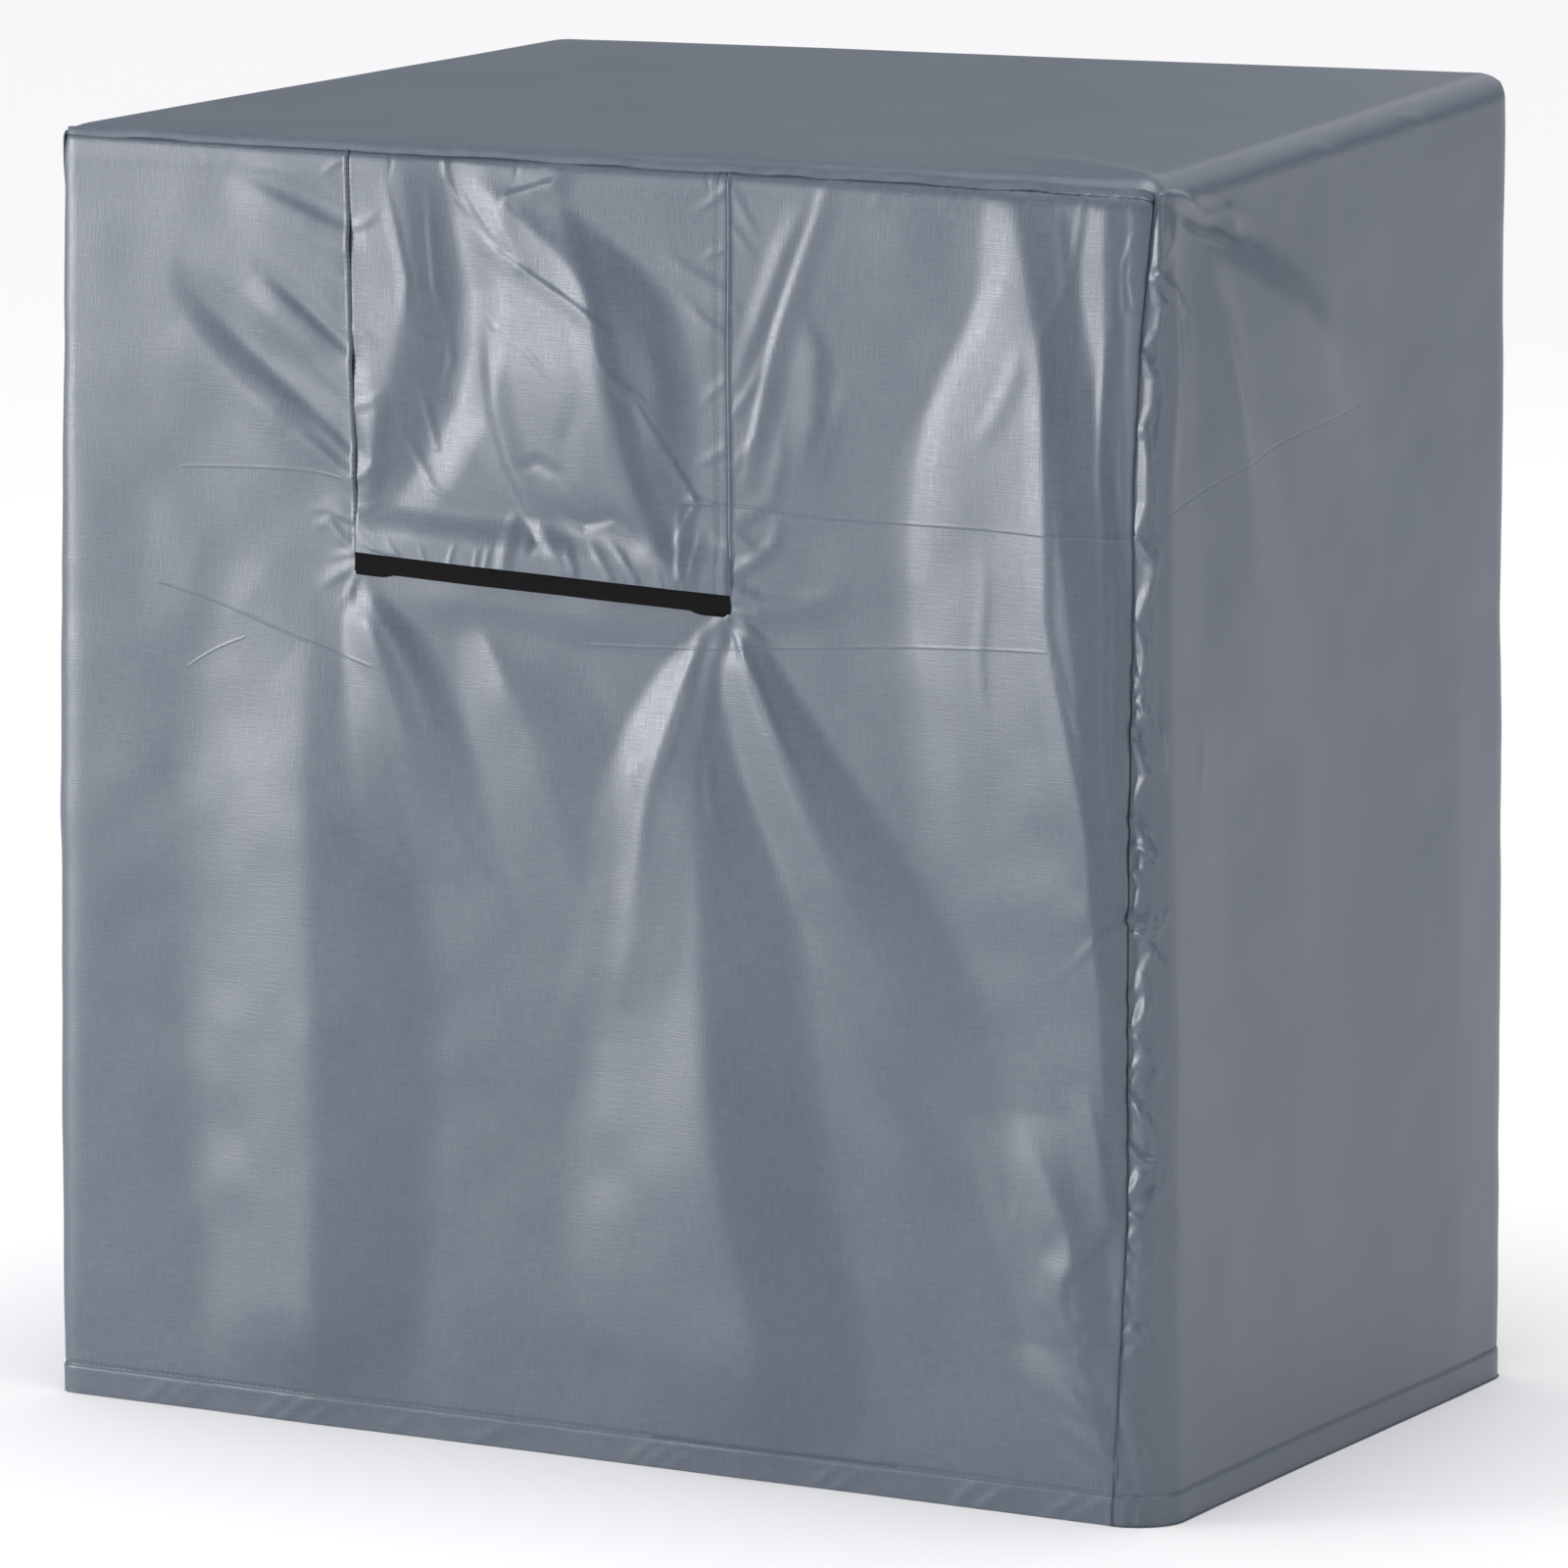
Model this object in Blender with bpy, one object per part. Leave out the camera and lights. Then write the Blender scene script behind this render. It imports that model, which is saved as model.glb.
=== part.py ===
"""Fitted cloth cover for an outdoor cooling unit: a hollow, boxy shell, hung over it.

Metres, +Z up. The origin is on the underside of the top, at its middle, where the
unit would carry the cloth. The front faces -Y and the open hem hangs at -Z.

Each piece is a flat slab of grid cells that is hung on a rounded box. A place on a
wall is given by two lengths: "around", from the front left corner to the right
along the front, and "down", from the top edge.
"""

from bisect import bisect_right
from collections import namedtuple
from math import sqrt

import bmesh
import bpy
import numpy as np
from mathutils import Vector

# Driving sizes of the cover
WIDTH = 0.842
DEPTH = 0.574
HEIGHT = 0.920
CLOTH = 0.0020
TAPE = 0.0010
GAP = 0.00035

# Hem: the lower edge turned up and stitched, so the cloth is thicker there
HEM = 0.023
HEM_EXTRA = 0.0008
HEM_STEP = 0.003

# Grid lines next to every rim, shared by neighbours so that their facets meet
EDGE_STEPS = (0.0, 0.006, 0.014, 0.030)
SEAM_RUN_IN = 0.050

# Seams of the front panel: the left one lies just round the left corner, the right
# one lies on the front, further in the lower it gets
LEFT_WRAP = 0.009
Inset = namedtuple("Inset", "down inset")
RIGHT_SEAM = (
    Inset(0.000, 0.000),
    Inset(0.040, 0.006),
    Inset(0.100, 0.013),
    Inset(0.200, 0.019),
    Inset(0.300, 0.021),
    Inset(0.500, 0.025),
    Inset(0.700, 0.026),
    Inset(0.800, 0.031),
    Inset(0.920, 0.034),
)
RIGHT_SEAM_DOWN = [row.down for row in RIGHT_SEAM]
RIGHT_SEAM_INSET = [row.inset for row in RIGHT_SEAM]

# Window in the front panel, its flap and the strip that closes it
WINDOW_LEFT_TOP = 0.230
WINDOW_LEFT_FOOT = 0.239
WINDOW_RIGHT_TOP = 0.522
WINDOW_RIGHT_FOOT = 0.525
STRIP_DOWN = 0.299
STRIP_RISE = 0.010
WINDOW_LAP = 0.002
TAPE_SHOWS = 0.0135
TAPE_TUCK = 0.006
TAPE_OVERHANG = 0.001
REAR_TAPE_TOP = 0.003
REAR_TAPE_SHOWS = 0.0160
FLAP_STAND = 0.040
FLAP_LAP = 0.013
STRIP_CALM = 0.024
STRIP_CALM_EDGE = 0.030
STRIP_BULGE = 0.003

# Corners of the hung cover: where each sits against a true box, and how round it is
Corner = namedtuple("Corner", "right back low shift_x shift_y shift_z radius")
CORNERS = (
    Corner(0, 0, 0, -0.008, -0.007, -0.014, 0.010),
    Corner(1, 0, 0, 0.012, 0.005, -0.008, 0.014),
    Corner(1, 1, 0, -0.017, -0.007, 0.017, 0.026),
    Corner(0, 1, 0, 0.027, 0.017, 0.005, 0.022),
    Corner(0, 0, 1, -0.019, -0.009, 0.000, 0.012),
    Corner(1, 0, 1, 0.015, 0.011, 0.000, 0.036),
    Corner(1, 1, 1, -0.010, -0.010, 0.000, 0.020),
    Corner(0, 1, 1, 0.010, 0.006, 0.000, 0.020),
)

# Folds. A fold runs down or across; each section gives where along the run it is,
# the crest's place across the run, the reach of the flank before and after the
# crest, and the height, negative for a trough.
Section = namedtuple("Section", "at crest before after height")
Fold = namedtuple("Fold", "runs sections")
RIGHT = WIDTH
BACK = WIDTH + DEPTH
WALL_FOLDS = (
    # Long fold under the window's left end
    Fold("down", (
        Section(0.300, 0.203, 0.060, 0.050, 0.000),
        Section(0.430, 0.200, 0.085, 0.070, 0.007),
        Section(0.560, 0.205, 0.090, 0.080, 0.011),
        Section(0.720, 0.208, 0.085, 0.080, 0.012),
        Section(0.860, 0.205, 0.080, 0.080, 0.008),
        Section(0.920, 0.205, 0.070, 0.080, 0.003),
    )),
    # Long fold under the window's right end
    Fold("down", (
        Section(0.330, 0.512, 0.020, 0.015, 0.000),
        Section(0.400, 0.497, 0.045, 0.030, 0.004),
        Section(0.520, 0.505, 0.058, 0.060, 0.008),
        Section(0.700, 0.520, 0.100, 0.080, 0.012),
        Section(0.810, 0.545, 0.110, 0.090, 0.010),
        Section(0.900, 0.530, 0.070, 0.070, 0.001),
    )),
    # Broad fold beside the right corner
    Fold("down", (
        Section(0.010, 0.735, 0.020, 0.030, 0.002),
        Section(0.100, 0.745, 0.030, 0.028, 0.006),
        Section(0.200, 0.750, 0.078, 0.028, 0.010),
        Section(0.330, 0.775, 0.102, 0.028, 0.014),
        Section(0.470, 0.797, 0.102, 0.020, 0.014),
        Section(0.600, 0.805, 0.072, 0.014, 0.009),
        Section(0.700, 0.800, 0.055, 0.014, 0.003),
    )),
    # Narrow upright ridge between it and the corner seam
    Fold("down", (
        Section(0.020, 0.804, 0.016, 0.012, 0.002),
        Section(0.150, 0.802, 0.018, 0.012, 0.006),
        Section(0.300, 0.805, 0.016, 0.010, 0.004),
        Section(0.420, 0.808, 0.012, 0.008, 0.000),
    )),
    # Folds that spread from the strip's right end
    Fold("down", (
        Section(0.305, 0.526, 0.008, 0.010, 0.001),
        Section(0.360, 0.543, 0.018, 0.026, 0.007),
        Section(0.420, 0.570, 0.026, 0.042, 0.009),
        Section(0.500, 0.612, 0.038, 0.060, 0.006),
        Section(0.590, 0.660, 0.050, 0.070, 0.000),
    )),
    Fold("down", (
        Section(0.310, 0.520, 0.008, 0.008, 0.001),
        Section(0.370, 0.486, 0.020, 0.018, 0.005),
        Section(0.440, 0.462, 0.026, 0.024, 0.006),
        Section(0.540, 0.452, 0.030, 0.030, 0.003),
        Section(0.620, 0.430, 0.040, 0.040, 0.000),
    )),
    # Folds that spread from the strip's left end
    Fold("down", (
        Section(0.300, 0.238, 0.008, 0.012, 0.001),
        Section(0.350, 0.256, 0.024, 0.034, 0.006),
        Section(0.410, 0.276, 0.040, 0.042, 0.005),
        Section(0.520, 0.300, 0.050, 0.060, 0.000),
    )),
    Fold("down", (
        Section(0.325, 0.335, 0.020, 0.040, 0.000),
        Section(0.390, 0.366, 0.040, 0.060, 0.005),
        Section(0.480, 0.400, 0.050, 0.070, 0.003),
        Section(0.600, 0.440, 0.050, 0.070, 0.000),
    )),
    # Slanting tucks pulled towards the window's left seam
    Fold("across", (
        Section(0.135, 0.022, 0.010, 0.012, 0.000),
        Section(0.190, 0.044, 0.012, 0.014, -0.004),
        Section(0.228, 0.060, 0.012, 0.014, -0.003),
        Section(0.245, 0.066, 0.010, 0.012, 0.000),
    )),
    Fold("across", (
        Section(0.155, 0.090, 0.012, 0.014, 0.000),
        Section(0.195, 0.120, 0.014, 0.016, -0.005),
        Section(0.232, 0.150, 0.012, 0.014, -0.004),
        Section(0.248, 0.158, 0.010, 0.012, 0.000),
    )),
    Fold("across", (
        Section(0.090, 0.100, 0.020, 0.018, 0.000),
        Section(0.150, 0.150, 0.026, 0.020, -0.007),
        Section(0.232, 0.212, 0.018, 0.016, -0.005),
        Section(0.250, 0.222, 0.012, 0.012, 0.000),
    )),
    # Flap: a ridge by its left seam, the hollow beside it and the broad bulge
    Fold("down", (
        Section(0.010, 0.272, 0.034, 0.026, 0.001),
        Section(0.090, 0.280, 0.040, 0.032, 0.006),
        Section(0.160, 0.262, 0.024, 0.036, 0.006),
        Section(0.270, 0.242, 0.010, 0.020, 0.000),
    )),
    Fold("down", (
        Section(0.020, 0.330, 0.020, 0.040, 0.000),
        Section(0.090, 0.415, 0.092, 0.050, 0.009),
        Section(0.160, 0.428, 0.100, 0.060, 0.013),
        Section(0.230, 0.440, 0.080, 0.050, 0.009),
        Section(0.285, 0.470, 0.050, 0.030, 0.001),
    )),
    # Low right of the front: cloth pushed out over the corner
    Fold("down", (
        Section(0.640, 0.740, 0.040, 0.040, 0.000),
        Section(0.720, 0.778, 0.050, 0.022, 0.007),
        Section(0.790, 0.786, 0.040, 0.020, 0.006),
        Section(0.850, 0.800, 0.050, 0.020, 0.000),
    )),
    Fold("down", (
        Section(0.800, 0.750, 0.050, 0.030, 0.000),
        Section(0.850, 0.795, 0.030, 0.016, 0.005),
        Section(0.895, 0.812, 0.020, 0.012, 0.001),
    )),
    # Left edge of the front, which falls away before it turns the corner
    Fold("down", (
        Section(0.050, 0.000, 0.040, 0.110, 0.000),
        Section(0.300, 0.030, 0.040, 0.090, -0.005),
        Section(0.700, 0.030, 0.040, 0.090, -0.006),
        Section(0.900, 0.020, 0.040, 0.080, -0.001),
    )),
    # Right side: folds drawn out of the front top corner
    Fold("across", (
        Section(RIGHT + 0.020, 0.012, 0.010, 0.012, 0.000),
        Section(RIGHT + 0.075, 0.034, 0.014, 0.020, -0.006),
        Section(RIGHT + 0.120, 0.052, 0.014, 0.026, -0.005),
        Section(RIGHT + 0.170, 0.078, 0.020, 0.030, 0.000),
    )),
    Fold("across", (
        Section(RIGHT + 0.060, 0.040, 0.016, 0.024, 0.001),
        Section(RIGHT + 0.160, 0.098, 0.030, 0.050, 0.007),
        Section(RIGHT + 0.250, 0.155, 0.040, 0.060, 0.005),
        Section(RIGHT + 0.340, 0.220, 0.050, 0.070, 0.000),
    )),
    Fold("down", (
        Section(0.040, RIGHT + 0.062, 0.016, 0.026, 0.001),
        Section(0.120, RIGHT + 0.095, 0.036, 0.030, 0.006),
        Section(0.230, RIGHT + 0.132, 0.060, 0.050, 0.005),
        Section(0.420, RIGHT + 0.165, 0.090, 0.080, 0.000),
    )),
    Fold("down", (
        Section(0.220, RIGHT + 0.480, 0.100, 0.060, 0.000),
        Section(0.500, RIGHT + 0.470, 0.140, 0.070, 0.005),
        Section(0.900, RIGHT + 0.480, 0.160, 0.080, 0.005),
    )),
    Fold("down", (
        Section(0.300, RIGHT + 0.090, 0.060, 0.080, 0.000),
        Section(0.480, RIGHT + 0.110, 0.070, 0.090, -0.004),
        Section(0.700, RIGHT + 0.120, 0.080, 0.110, 0.000),
    )),
    # Back and left side, which the photograph doesn't show: a few soft folds
    Fold("down", (
        Section(0.080, BACK + 0.220, 0.090, 0.110, 0.000),
        Section(0.450, BACK + 0.240, 0.120, 0.120, 0.007),
        Section(0.900, BACK + 0.220, 0.120, 0.140, 0.005),
    )),
    Fold("down", (
        Section(0.060, BACK + 0.600, 0.080, 0.090, 0.000),
        Section(0.400, BACK + 0.580, 0.120, 0.110, 0.006),
        Section(0.900, BACK + 0.610, 0.130, 0.120, 0.006),
    )),
    Fold("down", (
        Section(0.060, -0.400, 0.080, 0.090, 0.000),
        Section(0.500, -0.380, 0.110, 0.120, 0.006),
        Section(0.900, -0.400, 0.120, 0.130, 0.005),
    )),
    Fold("down", (
        Section(0.100, -0.170, 0.070, 0.070, 0.000),
        Section(0.550, -0.180, 0.090, 0.100, 0.006),
        Section(0.900, -0.170, 0.100, 0.090, 0.004),
    )),
)
TOP_FOLDS = (
    # Across is x and down is y on the top: the cloth dips between its edges
    Fold("across", (
        Section(-0.400, -0.060, 0.200, 0.300, 0.000),
        Section(-0.150, -0.040, 0.200, 0.280, -0.004),
        Section(0.150, -0.020, 0.220, 0.260, -0.004),
        Section(0.400, -0.040, 0.200, 0.260, 0.000),
    )),
    # Crease that runs in from the gathered front right corner
    Fold("across", (
        Section(0.240, -0.190, 0.030, 0.030, 0.000),
        Section(0.340, -0.228, 0.024, 0.020, 0.003),
        Section(0.400, -0.262, 0.016, 0.014, 0.002),
    )),
)

# Gathers of the gusset along the right seam
Pucker = namedtuple("Pucker", "down reach height")
PUCKER_OFF_SEAM = 0.014
PUCKER_WIDTH = 0.038
PUCKERS = (
    Pucker(0.048, 0.024, 0.004),
    Pucker(0.108, 0.026, 0.003),
    Pucker(0.180, 0.030, 0.004),
    Pucker(0.262, 0.028, 0.004),
    Pucker(0.345, 0.030, 0.003),
    Pucker(0.430, 0.028, 0.004),
    Pucker(0.500, 0.026, 0.005),
    Pucker(0.575, 0.028, 0.004),
    Pucker(0.660, 0.034, 0.005),
    Pucker(0.755, 0.032, 0.004),
)
TOP_CALM = 0.030
HEM_HOLD = 0.35
CREST_ROUND = 0.12
FOLD_END = 0.040
FOOT_ROUND = 0.15

# Where the grid lines of the walls and the top stand
FRONT_ROWS = (
    0.050, 0.070, 0.092, 0.115, 0.138, 0.160, 0.182, 0.204, 0.226, 0.250, 0.276, 0.301,
    0.320, 0.340, 0.362, 0.385, 0.410, 0.435, 0.460, 0.485, 0.510, 0.537, 0.565, 0.595,
    0.628, 0.660, 0.690, 0.720, 0.750, 0.780, 0.810, 0.840, 0.868,
)
PLAIN_ROWS = (0.050, 0.138, 0.276, 0.410, 0.537, 0.660, 0.780, 0.868)
HEM_ROWS = (HEIGHT - HEM - HEM_STEP, HEIGHT - HEM, HEIGHT)
FLAP_ROWS = 11
LEFT_BAND = (0.052, 0.082, 0.108, 0.132, 0.154, 0.176, 0.196, 0.214)
WINDOW_COLUMNS = 14
RIGHT_BAND = (0.541, 0.558, 0.578, 0.600, 0.624, 0.648, 0.672, 0.694, 0.716, 0.736, 0.756)
SIDE_COLUMNS = (0.045, 0.060, 0.078, 0.110, 0.150, 0.200, 0.260, 0.330, 0.400, 0.470, 0.530)
TOP_COLUMNS = 11
BACK_COLUMNS = 14

# Colours in linear light, and finishes
CLOTH_COLOUR = (0.162, 0.195, 0.235, 1.0)
TAPE_COLOUR = (0.010, 0.010, 0.012, 1.0)
CLOTH_ROUGHNESS = 0.45
TAPE_ROUGHNESS = 0.90


def smooth(share):
    """Eases from 0 to 1 as share goes from 0 to 1."""
    share = min(max(share, 0.0), 1.0)
    return share * share * (3.0 - 2.0 * share)


def eased_section(sections, along):
    """Crest, flank reaches and height of a fold at a place along it, on a smooth curve."""
    last = len(sections) - 1
    if along <= sections[0].at:
        return sections[0][1:]
    if along >= sections[last].at:
        return sections[last][1:]
    i = bisect_right([section.at for section in sections], along) - 1
    step = sections[i + 1].at - sections[i].at
    t = (along - sections[i].at) / step
    mixed = []
    for k in range(1, len(sections[0])):
        slopes = []
        for j in (i, i + 1):
            before, after = sections[max(j - 1, 0)], sections[min(j + 1, last)]
            slopes.append((after[k] - before[k]) / (after.at - before.at))
        start, end = sections[i][k], sections[i + 1][k]
        value = (1.0 + 2.0 * t) * (1.0 - t) ** 2 * start + t * t * (3.0 - 2.0 * t) * end
        value += step * t * (1.0 - t) * ((1.0 - t) * slopes[0] - t * slopes[1])
        mixed.append(value)
    return mixed


def flank(share):
    """Profile of a fold from crest (0) to foot (1): nearly straight, with both ends eased."""
    height = 1.0 - (sqrt(share * share + CREST_ROUND**2) - CREST_ROUND)
    if height >= FOOT_ROUND:
        return height
    if height <= -FOOT_ROUND:
        return 0.0
    return (height + FOOT_ROUND) ** 2 / (4.0 * FOOT_ROUND)


def fold_height(fold, around, down):
    """Height that one fold adds at a place, with its ends eased away."""
    along, beside = (down, around) if fold.runs == "down" else (around, down)
    reach_off = max(fold.sections[0].at - along, along - fold.sections[-1].at, 0.0)
    if reach_off > FOLD_END:
        return 0.0
    crest, before, after, height = eased_section(fold.sections, along)
    reach = before if beside < crest else after
    share = abs(beside - crest) / reach
    return height * flank(share) * (1.0 - smooth(reach_off / FOLD_END))


def right_seam(down):
    """Place around the cover of the seam between the front panel and the gusset's right side."""
    return RIGHT - float(np.interp(down, RIGHT_SEAM_DOWN, RIGHT_SEAM_INSET))


def left_seam(down):
    """Place around the cover of the seam just round the left corner."""
    return -LEFT_WRAP * min(down / SEAM_RUN_IN, 1.0)


def window_left(down):
    """Left side of the window, which leans a little."""
    return WINDOW_LEFT_TOP + (WINDOW_LEFT_FOOT - WINDOW_LEFT_TOP) * min(down / STRIP_DOWN, 1.0)


def window_right(down):
    """Right side of the window."""
    return WINDOW_RIGHT_TOP + (WINDOW_RIGHT_FOOT - WINDOW_RIGHT_TOP) * min(down / STRIP_DOWN, 1.0)


def strip_top(around):
    """How far down the flap's lower edge lies: the strip falls a little to the right."""
    share = (around - WINDOW_LEFT_FOOT) / (WINDOW_RIGHT_FOOT - WINDOW_LEFT_FOOT)
    return STRIP_DOWN - STRIP_RISE * (1.0 - min(max(share, 0.0), 1.0))


def pucker_height(around, down):
    """Gathers beside the right seam, on the gusset's side of it."""
    off = (around - right_seam(down)) / PUCKER_OFF_SEAM
    if off <= 0.0:
        return 0.0
    past = (around - right_seam(down) - PUCKER_OFF_SEAM) / PUCKER_WIDTH
    across = smooth(off) * (1.0 - smooth(past))
    return across * sum(p.height * (1.0 - smooth(abs(down - p.down) / p.reach)) for p in PUCKERS)


def strip_calm(around, down):
    """1 on and by the strip, where the cloth is held flat, easing to 0 away from it."""
    off = abs(down - strip_top(around) - TAPE_SHOWS / 2.0)
    beside = max(WINDOW_LEFT_FOOT - around, around - WINDOW_RIGHT_FOOT, 0.0)
    return (1.0 - smooth((off - STRIP_CALM) / STRIP_CALM_EDGE)) * (1.0 - smooth(beside / STRIP_CALM))


def strip_bulge(around):
    """The strip bows out a little between its two sewn ends."""
    share = (around - WINDOW_LEFT_FOOT) / (WINDOW_RIGHT_FOOT - WINDOW_LEFT_FOOT)
    share = min(max(share, 0.0), 1.0)
    return STRIP_BULGE * 4.0 * share * (1.0 - share)


def wall_lift(around, down):
    """How far the hung cloth stands out from the plain wall."""
    lift = sum(fold_height(fold, around, down) for fold in WALL_FOLDS)
    lift += pucker_height(around, down)
    hem_share = smooth((down - HEIGHT + 4.0 * HEM) / (4.0 * HEM))
    lift *= smooth(down / TOP_CALM) * (1.0 - (1.0 - HEM_HOLD) * hem_share)
    calm = strip_calm(around, down)
    return lift * (1.0 - calm) + strip_bulge(around) * calm


def top_lift(x, y):
    """How far the top's cloth stands up from the plain top, level at its edges."""
    edge = min(WIDTH / 2.0 - abs(x), DEPTH / 2.0 - abs(y))
    return sum(fold_height(fold, x, y) for fold in TOP_FOLDS) * smooth(edge / TOP_CALM)


def wall_to_box(around, down):
    """The place on the sharp box for a place on its walls."""
    z = CLOTH - down
    if around < 0.0:
        return Vector((-WIDTH / 2.0, -DEPTH / 2.0 - around, z))
    if around <= RIGHT:
        return Vector((around - WIDTH / 2.0, -DEPTH / 2.0, z))
    if around <= BACK:
        return Vector((WIDTH / 2.0, around - RIGHT - DEPTH / 2.0, z))
    return Vector((WIDTH / 2.0 - (around - BACK), DEPTH / 2.0, z))


def corner_mix(box):
    """Shift and edge radius at a place, mixed from the eight corners."""
    shares = (box.x / WIDTH + 0.5, box.y / DEPTH + 0.5, (CLOTH - box.z) / HEIGHT)
    shift = Vector((0.0, 0.0, 0.0))
    radius = 0.0
    for corner in CORNERS:
        weight = 1.0
        for share, far in zip(shares, (corner.right, corner.back, corner.low)):
            weight *= share if far else 1.0 - share
        shift += weight * Vector((corner.shift_x, corner.shift_y, corner.shift_z))
        radius += weight * corner.radius
    return shift, radius


def hang(box, lift):
    """Place in the room of a point on the sharp box, rounded, shifted and lifted off it."""
    shift, radius = corner_mix(box)
    half_x = WIDTH / 2.0 - radius
    half_y = DEPTH / 2.0 - radius
    core = Vector((
        min(max(box.x, -half_x), half_x),
        min(max(box.y, -half_y), half_y),
        min(box.z, CLOTH - radius),
    ))
    out = (box - core).normalized()
    return core + out * (radius + lift) + shift


def hem_growth(down):
    """1 in the hem, 0 above it."""
    return smooth((down - (HEIGHT - HEM - HEM_STEP)) / HEM_STEP)


def on_wall(around, down, inner, level=0.0, thickness=CLOTH):
    """Outer or inner point of cloth hung on a wall, level metres in front of it."""
    hem = hem_growth(down)
    lift = wall_lift(around, down) + level + hem * HEM_EXTRA / 2.0
    depth = (thickness + hem * HEM_EXTRA) if inner else 0.0
    return hang(wall_to_box(around, down), lift - depth)


def on_top(x, y, inner):
    """Outer or inner point of the cloth that lies on the top."""
    return hang(Vector((x, y, CLOTH)), top_lift(x, y) - (CLOTH if inner else 0.0))


def finish(name, colour, roughness):
    """A plain Principled material."""
    made = bpy.data.materials.new(name)
    made.use_nodes = True
    shader = made.node_tree.nodes["Principled BSDF"]
    shader.inputs["Base Color"].default_value = colour
    shader.inputs["Roughness"].default_value = roughness
    shader.inputs["Metallic"].default_value = 0.0
    return made


def sheet(name, columns, rows, place, material, left_out=None):
    """A closed sheet: a flat grid given thickness, then each corner moved to its place.

    place(column, row, inner) gives the point; left_out(column, row) is True for a
    cell that is cut away.
    """
    bm = bmesh.new()
    bmesh.ops.create_grid(bm, x_segments=columns, y_segments=rows, size=1.0)
    if left_out:
        cut = []
        for face in bm.faces:
            middle = face.calc_center_median()
            column = int((middle.x + 1.0) / 2.0 * columns)
            row = int((middle.y + 1.0) / 2.0 * rows)
            if left_out(column, row):
                cut.append(face)
        bmesh.ops.delete(bm, geom=cut, context="FACES")
    grown = bmesh.ops.extrude_face_region(bm, geom=bm.faces[:], use_keep_orig=True)
    for item in grown["geom"]:
        if isinstance(item, bmesh.types.BMVert):
            item.co.z = 1.0
    for vert in bm.verts:
        column = round((vert.co.x + 1.0) / 2.0 * columns)
        row = round((vert.co.y + 1.0) / 2.0 * rows)
        vert.co = place(column, row, vert.co.z > 0.5)
    bmesh.ops.recalc_face_normals(bm, faces=bm.faces[:])
    mesh = bpy.data.meshes.new(name)
    bm.to_mesh(mesh)
    bm.free()
    mesh.materials.append(material)
    made = bpy.data.objects.new(name, mesh)
    bpy.context.scene.collection.objects.link(made)
    for polygon in mesh.polygons:
        polygon.use_smooth = True
    mesh.set_sharp_from_angle(angle=0.7)
    return made


def rim_spaced(first, last, inside):
    """Grid lines from first to last: the shared edge steps at both ends and inside between."""
    return (
        [first + step for step in EDGE_STEPS]
        + list(inside)
        + [last - step for step in reversed(EDGE_STEPS)]
    )


def wall_rows(inside):
    """Grid lines from the top edge down to the hem."""
    return list(EDGE_STEPS) + list(inside) + list(HEM_ROWS)


def front_columns(down):
    """Grid lines across the front panel at one height."""
    left = [left_seam(down) + step for step in EDGE_STEPS] + list(LEFT_BAND)
    first = window_left(down)
    last = window_right(down)
    window = list(np.linspace(first, last, WINDOW_COLUMNS + 1))
    right = list(RIGHT_BAND) + [right_seam(down) - step for step in reversed(EDGE_STEPS)]
    return left, window, right


def front_down(row_down, around):
    """Leans the rows by the strip so that one is the window's lower edge, level at both rims."""
    window_foot = STRIP_DOWN + WINDOW_LAP
    if row_down <= window_foot:
        share = row_down / window_foot
    else:
        share = (HEIGHT - row_down) / (HEIGHT - window_foot)
    share *= min(max(around / WINDOW_LEFT_FOOT, 0.0), 1.0)
    return row_down - (STRIP_DOWN - strip_top(around)) * share


def make_front(material):
    """The front panel, with the window cut out of its upper part."""
    rows = wall_rows(FRONT_ROWS)
    left, window, right = front_columns(0.0)
    first_cut = len(left)
    last_cut = first_cut + WINDOW_COLUMNS
    cut_rows = rows.index(STRIP_DOWN + WINDOW_LAP)

    def place(column, row, inner):
        left, window, right = front_columns(rows[row])
        around = (left + window + right)[column]
        down = front_down(rows[row], around)
        if row <= cut_rows and column == first_cut:
            around -= GAP / 2.0
        if row <= cut_rows and column == last_cut:
            around += GAP / 2.0
        if column == 0:
            around += GAP / 2.0
        if column == last_column:
            around -= GAP / 2.0
        if row == 0:
            down += GAP / 2.0
        return on_wall(around, down, inner)

    last_column = len(left + window + right) - 1

    def in_window(column, row):
        return first_cut <= column < last_cut and row < cut_rows

    return sheet("front_panel", last_column, len(rows) - 1, place, material, in_window)


def make_flap(material):
    """The flap in the window. Its foot stands in front of the strip that it carries."""
    spread = np.linspace(SEAM_RUN_IN, STRIP_DOWN - FLAP_LAP, FLAP_ROWS)
    rows = list(EDGE_STEPS) + list(spread) + [STRIP_DOWN]

    def place(column, row, inner):
        first = window_left(rows[row]) + GAP / 2.0
        last = window_right(rows[row]) - GAP / 2.0
        around = first + (last - first) * column / WINDOW_COLUMNS
        down = rows[row] - (STRIP_DOWN - strip_top(around)) * rows[row] / STRIP_DOWN
        stand = smooth((rows[row] - STRIP_DOWN + FLAP_STAND) / (FLAP_STAND - FLAP_LAP))
        level = stand * (CLOTH + 2.0 * TAPE + 3.0 * GAP)
        if row == 0:
            down = GAP / 2.0
        return on_wall(around, down, inner, level)

    return sheet("vent_flap", WINDOW_COLUMNS, len(rows) - 1, place, material)


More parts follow.
